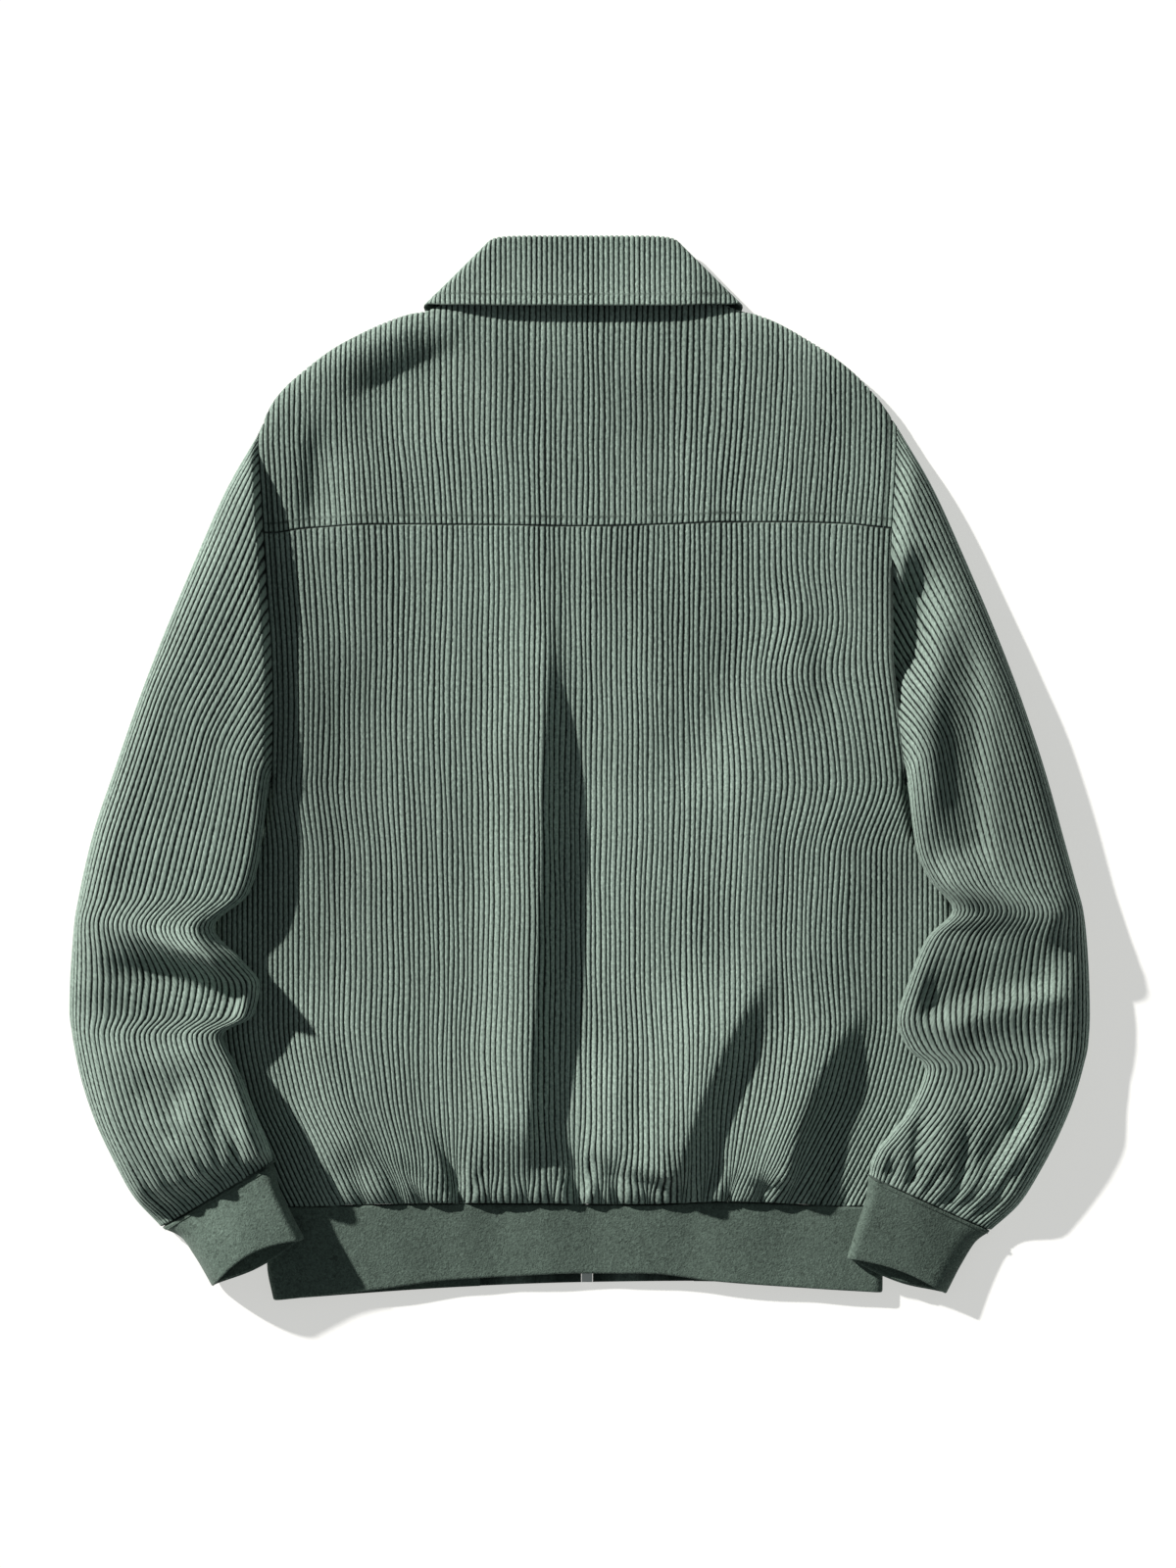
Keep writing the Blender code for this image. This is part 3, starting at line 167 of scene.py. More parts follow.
# Folds: a path from start by middle to end, its height, and the width of its slopes on the left and right
Fold = namedtuple("Fold", "name x0 y0 x1 y1 x2 y2 height left right fade_in fade_out")
BACK_FOLDS = (
    Fold("main ridge", -27, 162, -28, -60, -40, -284, 16.0, 11, 33, 0.44, 0.10),
    Fold("main hollow", 0, 90, 6, -60, 2, -260, -3.5, 20, 18, 0.30, 0.20),
    Fold("left swell", -92, 130, -100, -40, -94, -220, 3.0, 28, 28, 0.35, 0.30),
    Fold("left hollow", -150, 80, -158, -60, -140, -200, -2.5, 26, 26, 0.35, 0.35),
    Fold("right diagonal", 136, -116, 88, -205, 60, -286, 14.5, 14, 34, 0.40, 0.06),
    Fold("far right diagonal", 200, -150, 156, -218, 138, -286, 11.0, 12, 26, 0.40, 0.06),
    Fold("shoulder blade", 118, 130, 92, 40, 52, -30, -3.0, 20, 24, 0.35, 0.35),
    Fold("right side wave", 136, 122, 150, 82, 158, 30, 3.0, 9, 12, 0.40, 0.40),
    Fold("right middle swell", 96, 20, 118, -40, 124, -100, 3.5, 18, 20, 0.40, 0.40),
    Fold("low left swell", -186, -150, -170, -215, -150, -275, 5.0, 14, 20, 0.35, 0.20),
    Fold("low middle swell", 22, -180, 24, -225, 18, -276, 4.5, 13, 16, 0.50, 0.20),
)
YOKE_FOLDS = (
    Fold("left shoulder swell", -100, 306, -140, 290, -180, 258, 3.5, 12, 18, 0.30, 0.35),
    Fold("left shoulder hollow", -66, 290, -122, 267, -172, 238, -7.6, 42, 11, 0.30, 0.45),
    Fold("hollow by the armhole", -170, 250, -178, 202, -178, 146, -7.0, 22, 11, 0.45, 0.35),
    Fold("middle hollow", 42, 270, 44, 230, 40, 180, -1.6, 22, 22, 0.35, 0.35),
)
FOLD_STEPS = 41  # points along a fold's path
FOLD_FAR = 3.2  # widths from its path at which a fold has died out
Gather = namedtuple("Gather", "x depth width reach lean")
HEM_GATHERS = (
    Gather(-188, 3.5, 4.6, 34, -6), Gather(-166, 3.5, 4.4, 30, -8), Gather(-146, 4.5, 5.0, 48, -20),
    Gather(-121, 4.5, 4.2, 42, -16), Gather(-107, 4.0, 4.2, 34, -16), Gather(-81, 8.0, 5.0, 60, -12),
    Gather(-61, 2.0, 3.6, 24, -2), Gather(-36, 2.0, 3.6, 22, 0), Gather(-19, 2.2, 3.6, 24, 0),
    Gather(-2, 7.5, 4.6, 60, -4), Gather(14, 3.0, 4.0, 36, 2), Gather(25, 5.0, 4.0, 42, -2),
    Gather(47, 1.8, 3.6, 22, 0), Gather(70, 5.0, 4.4, 44, 4), Gather(84, 4.2, 4.0, 44, 10),
    Gather(101, 3.0, 4.0, 40, 8), Gather(123, 4.0, 4.0, 38, 6), Gather(142, 3.6, 4.2, 44, 14),
    Gather(164, 6.0, 4.6, 52, 18), Gather(180, 4.0, 4.4, 36, 14), Gather(193, 3.5, 4.0, 28, 10),
)
GATHER_START = 5.0  # height over the seam at which a gather is at its deepest
PINCH = 0.9  # how far a hem gather pulls the wales beside it together
PINCH_WIDE = 1.6  # and over how much more than its own width

# Sleeves and cuffs: rows across the arm, from the shoulder down, with the height of the upper cloth
Row = namedtuple("Row", "outer_x outer_y inner_x inner_y top")
SLEEVE_LEFT = (
    Row(-219.4, 227.8, -122.0, 190.0, 24), Row(-240.0, 192.0, -134.0, 146.0, 29),
    Row(-262.0, 143.0, -152.0, 96.0, 30), Row(-283.0, 93.0, -178.0, 46.0, 27),
    Row(-300.0, 49.0, -210.8, -8.5, 27), Row(-317.0, 0.0, -214.4, -40.0, 29),
    Row(-332.0, -45.0, -218.5, -67.0, 31), Row(-341.0, -84.0, -225.0, -86.0, 31),
    Row(-344.5, -104.0, -248.0, -108.0, 31), Row(-346.3, -125.0, -229.0, -130.0, 33),
    Row(-347.6, -145.0, -217.0, -147.0, 33), Row(-348.1, -165.0, -221.5, -168.0, 29),
    Row(-346.0, -182.0, -242.0, -181.5, 31), Row(-341.0, -207.0, -230.5, -206.0, 39),
    Row(-331.0, -238.0, -217.0, -239.0, 48), Row(-318.0, -266.0, -210.5, -255.0, 49),
    Row(-303.0, -293.0, -208.6, -261.5, 46), Row(-285.1, -313.0, -207.8, -267.0, 32),
)
SLEEVE_RIGHT = (
    Row(216.5, 232.8, 122.0, 192.0, 19), Row(240.0, 193.0, 136.0, 146.0, 24),
    Row(261.5, 146.0, 156.0, 98.0, 27), Row(283.5, 94.0, 188.0, 48.0, 29),
    Row(300.5, 49.6, 222.2, -2.0, 30), Row(317.0, 0.0, 225.2, -32.0, 30),
    Row(329.5, -45.0, 228.8, -56.0, 30), Row(338.5, -78.0, 237.5, -76.0, 31),
    Row(343.5, -97.0, 253.0, -96.0, 30), Row(345.8, -115.0, 236.0, -115.0, 28),
    Row(347.6, -145.0, 223.0, -145.0, 30), Row(348.1, -168.0, 215.5, -171.0, 29),
    Row(347.0, -188.0, 222.5, -190.0, 27), Row(343.5, -204.0, 234.5, -204.0, 27),
    Row(337.0, -226.0, 226.0, -228.0, 28), Row(327.0, -250.0, 211.0, -248.0, 28),
    Row(314.0, -275.0, 201.5, -260.0, 27), Row(300.0, -297.0, 198.0, -269.0, 25),
    Row(280.0, -315.5, 196.7, -277.1, 20),
)
OUTER_ROLL, INNER_ROLL = 0.20, 0.085  # shares of the width in which the upper cloth turns down at its folds
LOWER_ROLL = 0.08
OUTER_Z = 7.0  # height of the outer fold
SLEEVE_FOLDS_LEFT = (
    Fold("long ridge", -228, 196, -222, 70, -228, -58, 2.0, 16, 9, 0.25, 0.35),
    Fold("elbow ridge", -338, -102, -284, -115, -218, -143, 13.0, 18, 10, 0.50, 0.0),
    Fold("elbow peak", -290, -108, -252, -124, -216, -142, 13.0, 15, 10, 0.50, 0.0),
    Fold("hollow under the elbow", -332, -130, -284, -142, -226, -159, -14.0, 11, 12, 0.55, 0.05),
    Fold("forearm ridge", -326, -176, -290, -196, -244, -186, 4.0, 10, 14, 0.30, 0.15),
    Fold("forearm hollow", -302, -206, -286, -226, -262, -236, -4.0, 12, 14, 0.35, 0.35),
    Fold("puff over the cuff", -232, -196, -222, -226, -226, -262, 4.0, 12, 16, 0.40, 0.20),
    Fold("crease beside the puff", -252, -212, -240, -238, -229, -270, -5.0, 5, 7, 0.35, 0.0),
    Fold("cuff pleat", -280, -246, -262, -264, -243, -281, 5.0, 8, 5, 0.35, 0.0),
    Fold("outer cuff crease", -304, -264, -296, -280, -280, -300, -3.5, 6, 6, 0.35, 0.0),
)
# Fine creases beside the main folds, close to the gathered seams
BACK_CREASES = (
    Fold("tuck far left of the pucker", -130, -262, -110, -278, -88, -293, -2.6, 4, 4, 0.40, 0.15),
    Fold("tuck left of the pucker", -120, -246, -100, -270, -84, -291, -2.2, 4, 3.5, 0.40, 0.15),
    Fold("tuck into the pucker", -104, -236, -91, -264, -81, -289, -2.6, 4, 4, 0.40, 0.15),
    Fold("tuck right of the pucker", -60, -266, -69, -281, -78, -293, -1.8, 3.5, 3.5, 0.40, 0.15),
    Fold("tuck left of the zip", -17, -266, -10, -280, -4, -292, -1.8, 3.5, 3.5, 0.40, 0.15),
    Fold("tuck right of the zip", 12, -256, 6, -276, 0, -292, -2.2, 4, 4, 0.40, 0.15),
    Fold("tuck by the diagonal", 58, -254, 66, -275, 74, -291, -2.4, 4, 4, 0.40, 0.15),
    Fold("tuck under the diagonal", 104, -258, 92, -278, 84, -292, -2.2, 4, 4, 0.40, 0.15),
    Fold("tuck by the right cuff", 182, -252, 172, -274, 166, -291, -2.4, 4, 4, 0.40, 0.15),
)
SLEEVE_CREASES_LEFT = (
    Fold("outer crease at the cuff", -282, -236, -265, -254, -244, -276, -3.8, 5.5, 5, 0.40, 0.0),
    Fold("straight crease at the cuff", -252, -222, -246, -250, -243, -276, -3.0, 4.5, 4.5, 0.40, 0.0),
    Fold("leaning crease at the cuff", -240, -206, -232, -236, -231, -266, -2.6, 4.5, 4.5, 0.40, 0.0),
    Fold("crease of the outer end", -294, -276, -287, -291, -281, -305, -3.0, 4, 4, 0.35, 0.0),
    Fold("soft hollow over the puff", -262, -206, -272, -222, -278, -240, -3.0, 9, 9, 0.40, 0.30),
    Fold("crease at the inner elbow", -262, -98, -242, -100, -226, -92, -2.2, 5, 5, 0.40, 0.10),
)
SLEEVE_CREASES_RIGHT = (
    Fold("crease at the inner elbow", 236, -88, 258, -96, 286, -96, -3.2, 5, 6, 0.10, 0.50),
    Fold("edge under the elbow", 232, -104, 262, -112, 300, -116, -2.4, 7, 7, 0.20, 0.40),
    Fold("ridge of the forearm", 330, -186, 304, -214, 286, -256, 3.4, 6, 6, 0.30, 0.20),
    Fold("dark hollow of the forearm", 318, -190, 300, -226, 294, -256, -4.0, 7, 9, 0.30, 0.25),
    Fold("crease at the outer cuff", 310, -240, 297, -272, 276, -300, -3.2, 4.5, 5, 0.35, 0.0),
    Fold("crease at the middle cuff", 262, -232, 262, -262, 252, -294, -2.6, 4, 4, 0.40, 0.0),
    Fold("crease at the inner cuff", 232, -206, 230, -240, 226, -278, -3.0, 4, 4, 0.35, 0.0),
    Fold("innermost crease", 216, -232, 212, -252, 210, -272, -2.4, 3.5, 3.5, 0.35, 0.0),
)
SLEEVE_DIPS_LEFT = ()  # hollows close to the armhole seam
SLEEVE_DIPS_RIGHT = (Fold("armhole dip", 228, 152, 227, 98, 217, 28, -32.0, 15, 15, 0.45, 0.45),)
SLEEVE_FOLDS_RIGHT = (
    Fold("long ridge", 243, 130, 237, 50, 240, -50, 5.0, 10, 9, 0.25, 0.20),
    Fold("long hollow", 264, 106, 268, 10, 271, -70, -9.5, 8, 22, 0.25, 0.12),
    Fold("elbow ridge", 236, -82, 286, -90, 342, -116, 12.0, 17, 19, 0.15, 0.20),
    Fold("hollow under the elbow", 224, -170, 278, -151, 338, -146, -9.0, 24, 6, 0.20, 0.25),
    Fold("lit ridge", 238, -184, 282, -162, 340, -154, 5.0, 5, 15, 0.25, 0.20),
    Fold("outer forearm ridge", 334, -196, 312, -238, 284, -280, 5.0, 9, 9, 0.30, 0.15),
    Fold("forearm hollow", 306, -206, 294, -244, 268, -276, -6.0, 11, 11, 0.35, 0.20),
    Fold("inner forearm ridge", 246, -216, 248, -246, 240, -276, 4.0, 10, 10, 0.40, 0.15),
)
FOLD_OUTER, FOLD_INNER = 0.3, 0.16  # shares of the width over which folds die out at a sleeve's edges
ARMHOLE_ROWS = 4.05  # the armhole seam crosses the rows up to here
ARMHOLE_NEAR = (0, 0.004, 0.009, 0.016, 0.028)
LEVEL_ROW = 5.8  # from here on the mesh follows the rows
CUFF_ROWS = 0.2  # the last part of a row, where the mesh is finer
CREASE_END = 0.25  # part of a row over the cuff in which the creases die out
CALM_SHARE, CALM_ROWS = 0.125, 0.5  # wales run straighter this close to a sleeve's folds and armhole
SLEEVE_WIDE, SLEEVE_HIGH, ROW_LONG = 115.0, 29.0, 20.0  # mean sizes, and from one row to the next
CUFF_GATHERS = (0.16, 0.30, 0.43, 0.57, 0.70, 0.84)
CUFF_GATHER_WIDTH = 0.045
PUFF_ROWS, PUFF_RISE = 2.5, 1.6  # the gathers start this far above the cuff and deepen over this
PUFF_END, PUFF_CUT = 0.7, 0.55  # by the cuff they lose this share
CUFF_LEFT = (
    Row(-284.6, -313.5, -207.6, -267.5, 22), Row(-272.5, -319.0, -204.0, -283.2, 24),
    Row(-262.0, -333.0, -196.0, -301.0, 26), Row(-250.3, -353.0, -186.6, -318.7, 27),
)
CUFF_RIGHT = (
    Row(279.9, -315.8, 196.6, -277.3, 13), Row(271.0, -322.0, 194.5, -292.0, 13),
    Row(260.5, -338.0, 188.5, -311.0, 12), Row(250.0, -358.3, 181.6, -333.0, 11),
)
CUFF_BOW_LOWER = 3.6
BOW_X, BOW_Y = 0.45, 0.9  # direction in which a cuff's open end is drawn in
CUFF_COLUMNS = 150
CUFF_RIB = 5.0  # columns a wale
CUFF_WIDE = 85.0
CUFF_START_ROWS, CUFF_END_ROWS = (0, 0.03, 0.08), (0.06, 0.03, 0.01, 0)
CUFF_SINK = 1.9  # the cuff's start lies this far under the sleeve's face
CUFF_TUCK = 3.0  # and reaches this far into the sleeve

# join is from the armhole seam to the sleeve's own height, gathers their depth, bow how far the cuff bends
Side = namedtuple("Side", "word sign sleeve folds creases dips cuff join gathers bow")
SIDES = (
    Side("left", -1, SLEEVE_LEFT, SLEEVE_FOLDS_LEFT, SLEEVE_CREASES_LEFT, SLEEVE_DIPS_LEFT, CUFF_LEFT,
         join=10.0, gathers=3.4, bow=8.5),
    Side("right", 1, SLEEVE_RIGHT, SLEEVE_FOLDS_RIGHT, SLEEVE_CREASES_RIGHT, SLEEVE_DIPS_RIGHT, CUFF_RIGHT,
         join=24.0, gathers=2.0, bow=4.6),
)

# Collar: stations from its middle to its front end; turn is 0 on the back, 180 on the fronts
Station = namedtuple("Station", "turn neck_x neck_y roll_x roll_y edge_x edge_y lift")
COLLAR_MIDDLE = Station(0, 2.5, 328.3, 2.5, 362.1, 2.5, 314.0, 7.5)
COLLAR_HALF = (
    COLLAR_MIDDLE,
    Station(0, -22, 328.9, -14, 362.1, -24, 314.2, 7.5),
    Station(0, -46, 330.2, -32, 362.1, -52, 314.2, 7.0),
    Station(0, -68, 332.4, -47, 361.8, -80, 314.9, 4.0),
    Station(22, -79, 334.6, -55.5, 361.2, -96, 315.5, 0.3),
    Station(55, -84, 336.8, -60, 360.0, -103, 316.2, 0),
    Station(90, -85.5, 336.6, -62, 358.0, -105.5, 315.6, 0),
    Station(122, -84.5, 335.2, -61, 354.5, -106.4, 314.8, 0),
    Station(152, -80.2, 333.4, -58, 350.5, -105.6, 312.0, 0),
    Station(180, -71.5, 321.0, -52, 342.0, -101, 301.5, 0),
    Station(180, -50, 291.6, -35, 315.0, -80, 256.0, 0),
    Station(180, -22, 267.6, -16, 288.0, -67, 231.0, 0),
    Station(180, 1, 257.6, -1, 272.0, -60, 219.0, 0),
)
COLLAR_Z = 7.5  # height of its middle, between the back and the fronts
COLLAR_AIM = (-0.70, 0.71)  # the left half turns over in this direction
FRONT_NECK_GAP = 0.9
STAND_RADIUS, FALL_RADIUS = 4.7, 6.7  # from that middle to the stand and to the fall over it
ROLL_ANGLES = (30, 60, 90, 120, 150)
STAND_ROWS, FALL_ROWS = 9, 24
EDGE_NEAR = (9, 8.2, 7.4, 6.4, 5, 3, 1.8, 1.1, 0.5, 0)  # more rows this close to the fall's edge
EDGE_START = 10  # where the even rows end
COLLAR_STITCH = 8.0  # from the fall's edge to its stitching

ZIP_X = 5.0  # the zip's middle; the next four are distances from it
FRONT_EDGE = 4.0
TAPE_EDGE, TAPE_WIDTH = 0.8, 13.0
TAB_SIDE = 73.0
TAPE_BOTTOM, ZIP_TOP = -339.0, 255.0
TEETH_BOTTOM, TEETH_TOP = -336.0, 229.0
TEETH_UP = 1.1  # over the fronts' cloth
TOOTH_PITCH, TOOTH_REACH = 1.5, 3.4
TOOTH_LONG, TOOTH_HIGH = 1.15, 1.5
TOOTH_OFFSET = 0.28  # share of its reach by which a tooth is set to its side

# ---------- sizes of the finish ----------

WALE = 3.5  # from one wale to the next
WALE_STEPS = (0.0, 0.12, 0.30, 0.70, 0.88)  # where a wale's points lie across it
WALE_HEIGHT = 1.25
WALE_ROUND = 2.4  # how full a wale is across
BACK_WALES = 144
BACK_LEFT = -251.0  # left edge of the flat panel
SPREAD = 115.0  # width in which the wales give way to the armhole's curve
WING_WALES = 13  # wales on each side that end in the underarm curve
WING_Y = -60.0  # from here up the wales give way
LOW_LEFT, LOW_RIGHT = (70, 125), (65, 130)  # from here out, over this width, wales follow the bulge
STRAY_RISE = 30  # from the armhole line to wales that stray fully
YOKE_WALES = 120
FRONT_WALES = 68
SLEEVE_WALES = 68
COLLAR_WALES = 118
COLLAR_SECTIONS = 420  # from the middle to one front end
STRAIGHT_WALES = 34  # on either side of the middle these run straight down
TAB_WALES = 20
NO_SEAM = 99.0  # distance that stands for no seam
ARMHOLE_END = 4  # the armhole seam ends this far above the underarm
SEAM_TURN = 1.6  # width in which cloth turns down into a seam
SEAM_DROP = 0.8
SEAM_FLAT = 0.15  # at a seam wales start with the height that they have this far from it
SEAM_TUCK = 0.4  # how far a sleeve's edge lies under the body's at the armhole
OPEN_ROWS = 6  # rows over the underarm before a wall's edge follows the armhole
LEAST_TILT = 0.05
SHARP_EDGE = 75  # degrees
SEAM_NEAR = (0.0, 0.5, 1.1, 1.8, 3.0)  # rows close to a seam
STITCH_PITCH = 3.6
STITCH_LONG = 2.7
STITCH_WIDE = 0.62
STITCH_FROM_EDGE = 6.0
STITCH_ROWS = (-1.2, -0.4, 0.4, 1.2)  # rows beside a line of stitches
GROOVE_DEPTH, GROOVE_WIDTH = 0.75, 1.1
THREAD_SINK = 0.45
YOKE_STITCHED, ARMHOLE_STITCHED = (-200, 207), (6, 222)  # from where to where

# Places where the back's wales are pushed sideways: by shift mm, over reach_x and reach_y
Slide = namedtuple("Slide", "x y shift reach_x reach_y")
BACK_SLIDES = (
    Slide(146, 104, 4.5, 34, 24), Slide(150, 62, -4.0, 34, 22), Slide(118, -10, 2.5, 40, 40),
    Slide(-120, 40, -2.0, 50, 70), Slide(-110, -150, 3.0, 36, 60), Slide(-70, -190, -2.5, 26, 40),
    Slide(60, -120, -2.0, 40, 60), Slide(170, -120, -3.0, 30, 40), Slide(98, -230, -3.5, 24, 36),
)
YOKE_SLIDES = (Slide(118, 165, 6.5, 48, 115), Slide(-118, 165, -3.5, 44, 115))  # growing up to the shoulder
CALM_SIDE, CALM_SHOULDER = (4, 14), (2, 16)  # wales run straight this close to an edge, and over what width
WANDER, UNEVEN = 0.42, 0.20  # how far wales stray together, and each from its neighbours
# Patches lighter or darker by this share: painted shade on the left back beside the sleeve, on the right
# sleeve, under its elbow and in the yoke's middle hollow, a painted highlight on the left cuff, the rest
# pile brushed another way
ShadeAndNap = namedtuple("ShadeAndNap", "x y shade reach_x reach_y")
PAINTED_SHADE_AND_NAP = (
    ShadeAndNap(-172, 10, -0.30, 55, 150), ShadeAndNap(0, 250, -0.07, 170, 45), ShadeAndNap(44, 215, -0.12, 16, 60),
    ShadeAndNap(-20, 90, 0.05, 90, 90), ShadeAndNap(20, -180, 0.08, 60, 90), ShadeAndNap(150, -60, -0.05, 40, 90),
    ShadeAndNap(290, -10, -0.30, 62, 170), ShadeAndNap(250, -150, -0.12, 50, 60), ShadeAndNap(-236, -316, 0.34, 30, 26),
    ShadeAndNap(224, -318, -0.08, 30, 30),
)


# ---------- reading the tables ----------


def column(rows, name):
    return np.array([getattr(row, name) for row in rows], float)


def read(keys, values, at):
    """A smooth curve through the values that never overshoots them."""
    steps = np.diff(keys)
    slopes = np.diff(values) / steps
    tangents = np.zeros_like(values)
    tangents[0], tangents[-1] = slopes[0], slopes[-1]
    before, after = slopes[:-1], slopes[1:]
    rising = before * after > 0
    tangents[1:-1][rising] = 2 * before[rising] * after[rising] / (before + after)[rising]
    at = np.clip(at, keys[0], keys[-1])
    i = np.clip(np.searchsorted(keys, at) - 1, 0, len(steps) - 1)
    t = (at - keys[i]) / steps[i]
    start = (1 + 2 * t) * (1 - t) ** 2 * values[i] + t * (1 - t) ** 2 * steps[i] * tangents[i]
    end = t * t * (3 - 2 * t) * values[i + 1] + t * t * (t - 1) * steps[i] * tangents[i + 1]
    return start + end


def body_at(name, y):
    return read(column(BODY, "y"), column(BODY, name), y)


def edge_y(rows, x):
    return read(column(rows, "x"), column(rows, "y"), x)


def edge_slope(rows, x):
    return (edge_y(rows, x + 0.5) - edge_y(rows, x - 0.5)).clip(-STEEPEST, STEEPEST)


def ease(t):
    t = np.clip(t, 0, 1)
    return t * t * (3 - 2 * t)


def rounded(t):
    """A quarter circle: 0 and upright at the edge, 1 and level from t = 1 on."""
    return np.sqrt(1 - (1 - np.clip(t, 0, 1)) ** 2)


def bell(t):
    return np.exp(-(t**2))


# ---------- heights ----------


def fold_height(x, y, folds):
    """Height of the folds at each point: a bell across each path, fading at its ends."""
    total = np.zeros(np.shape(x))
    s = np.linspace(0, 1, FOLD_STEPS)
    for fold in folds:
        bend_x = 2 * fold.x1 - (fold.x0 + fold.x2) / 2
        bend_y = 2 * fold.y1 - (fold.y0 + fold.y2) / 2
        path_x = (1 - s) ** 2 * fold.x0 + 2 * s * (1 - s) * bend_x + s * s * fold.x2
        path_y = (1 - s) ** 2 * fold.y0 + 2 * s * (1 - s) * bend_y + s * s * fold.y2
        far = FOLD_FAR * max(fold.left, fold.right)
        close = (x > path_x.min() - far) & (x < path_x.max() + far)
        close &= (y > path_y.min() - far) & (y < path_y.max() + far)
        px, py = x[close], y[close]
        start = np.stack([path_x[:-1], path_y[:-1]])
        run = np.stack([np.diff(path_x), np.diff(path_y)])
        off_x, off_y = px[:, None] - start[0], py[:, None] - start[1]
        t = np.clip((off_x * run[0] + off_y * run[1]) / (run**2).sum(0), 0, 1)
        away = np.hypot(off_x - t * run[0], off_y - t * run[1])
        near = away.argmin(axis=1)
        pick = np.arange(len(px)), near
        left_hand = run[0][near] * off_y[pick] - run[1][near] * off_x[pick] > 0
        width = np.where(left_hand, fold.left, fold.right)
        share = (near + t[pick]) / (len(s) - 1)
        fade = np.ones_like(share)
        if fold.fade_in:
            fade = fade * ease(share / fold.fade_in)
        if fold.fade_out:
            fade = fade * ease((1 - share) / fold.fade_out)
        total[close] += fold.height * fade * bell(away[pick] / width)
    return total


def wander(across, along):
    """How far a wale strays sideways: slow and quick waves over the cloth, and each wale for itself."""
    slow = np.sin(along / 31 + 1.9 * np.sin(across / 47) + across / 83)
    quick = np.sin(along / 11.3 + 2.6 * np.sin(across / 13.7 + 0.8) + across / 5.9)
    own = np.sin(across / 1.93 + 1.4 * np.sin(along / 57))
    own = own + np.sin(across / 1.27 + 1.1 * np.sin(along / 23))
    return WANDER * (slow + 0.55 * quick) + UNEVEN * own


def shade_and_nap_at(x, y):
    """Share by which the cloth is lighter or darker at a place: painted shade and light, and brushed pile.
    """
    return sum(
        shade_and_nap.shade * bell((x - shade_and_nap.x) / shade_and_nap.reach_x) * bell((y - shade_and_nap.y) / shade_and_nap.reach_y) for shade_and_nap in PAINTED_SHADE_AND_NAP
    )


def gather_parts(x, y):
    """For each hem gather: how much of it is left at this height, and the distance from its crease."""
    up = y - edge_y(HEM_SEAM, x)
    for gather in HEM_GATHERS:
        along = np.clip(up / gather.reach, 0, 1)
        yield gather, up, along, x - gather.x - gather.lean * along


def gather_height(x, y):
    total = np.zeros(np.shape(x))
    for gather, up, along, off in gather_parts(x, y):
        depth = gather.depth * (1 - ease(along)) * ease(up / GATHER_START + 0.5)
        total -= depth * bell(off / (gather.width * (1 + along)))
    return total


def gather_pinch(x, y):
    total = np.zeros(np.shape(x))
    for gather, _, along, off in gather_parts(x, y):
        width = PINCH_WIDE * gather.width * (1 + along)
        total -= PINCH * off * (1 - ease(along)) * bell(off / width)
    return total


def side_turn(y, length):
    """1 along the side seam, 0 where the armhole is open, round in between."""
    return np.where(y < UNDERARM_Y, 1.0, 1 - rounded((y - UNDERARM_Y) / length))


def neck_turn(x):
    """1 along the shoulders, where the cloth is folded, 0 where the neck is open, round in between."""
    left, right = NECK_POINTS
    return 1 - rounded(np.minimum(x - left, right - x) / NECK_TURN)


def from_sides(x, y):
    return np.minimum(x - body_at("left", y), body_at("right", y) - x)


def from_shoulder(rows, x, y):
    return (edge_y(rows, x) - y) / np.sqrt(1 + edge_slope(rows, x) ** 2)


def from_armhole(x, y):
    return np.where(y > UNDERARM_Y + ARMHOLE_END, from_sides(x, y), NO_SEAM)


def back_z(x, y):
    inside = from_sides(x, y)
    tuck = body_at("tuck", y)
    beside = body_at("beside", y)
    z = beside + (body_at("middle", y) - beside) * ease((inside - tuck) / CLIMB)
    folds = fold_height(x, y, BACK_FOLDS + YOKE_FOLDS + BACK_CREASES) + gather_height(x, y)
    z = z + folds * ease((inside - tuck) / FOLD_RISE) * ease((FOLD_TOP - y) / FOLD_RISE)
    z = z - (z - SIDE_Z) * (1 - rounded(inside / SIDE_ROLL)) * side_turn(y, BACK_TURN)
    down = 1 - rounded(from_shoulder(BACK_TOP, x, y) / SHOULDER_ROLL)
    return z - (z - SHOULDER_Z) * down * neck_turn(x)


def leaf_lift(x, y):
    """How far the fronts lie over the floor, on the collar's front leaves."""
    up = ease((y - LEAF_UP[0]) / LEAF_UP[1])
    return LEAF_LIFT * up * ease((LEAF_SIDE[0] - abs(x - ZIP_X)) / LEAF_SIDE[1])


def front_z(x, y):
    lift = leaf_lift(x, y)
    inside = from_sides(x, y)
    z = lift + SIDE_Z * (1 - rounded(inside / FLOOR_ROLL)) * side_turn(y, FRONT_TURN)
    down = 1 - rounded(from_shoulder(FRONT_TOP, x, y) / FLOOR_ROLL)
    return z + (SHOULDER_Z - z) * down * neck_turn(x)


def lying_over(x, y, start, width):
    """0 beside the body, 1 over its edge and the hem band; the climb starts this far outside."""
    inside = np.where(x < 0, x - body_at("left", y), body_at("right", y) - x)
    return ease((inside + start) / width) * ease((UNDERARM_Y - y) / UNDERARM_EASE)


def support_z(x, y):
    """Lower face of a sleeve or cuff."""
    return SUPPORT * lying_over(x, y, *SUPPORT_CLIMB)


def loft_z(x, y):
    """The same climb for a cuff's upper face, which is softer."""
    return SUPPORT * lying_over(x, y, *LOFT_CLIMB)


# ---------- shells ----------


def stack(x, y, z):
    return np.stack(np.broadcast_arrays(x, y, z), axis=-1).astype(float)


def normals_of(grid, ring):
    if ring:
        across = np.roll(grid, -1, axis=1) - np.roll(grid, 1, axis=1)
    else:
        across = np.gradient(grid, axis=1)
    normal = np.cross(across, np.gradient(grid, axis=0))
    return normal / np.maximum(np.linalg.norm(normal, axis=2, keepdims=True), 1e-9)


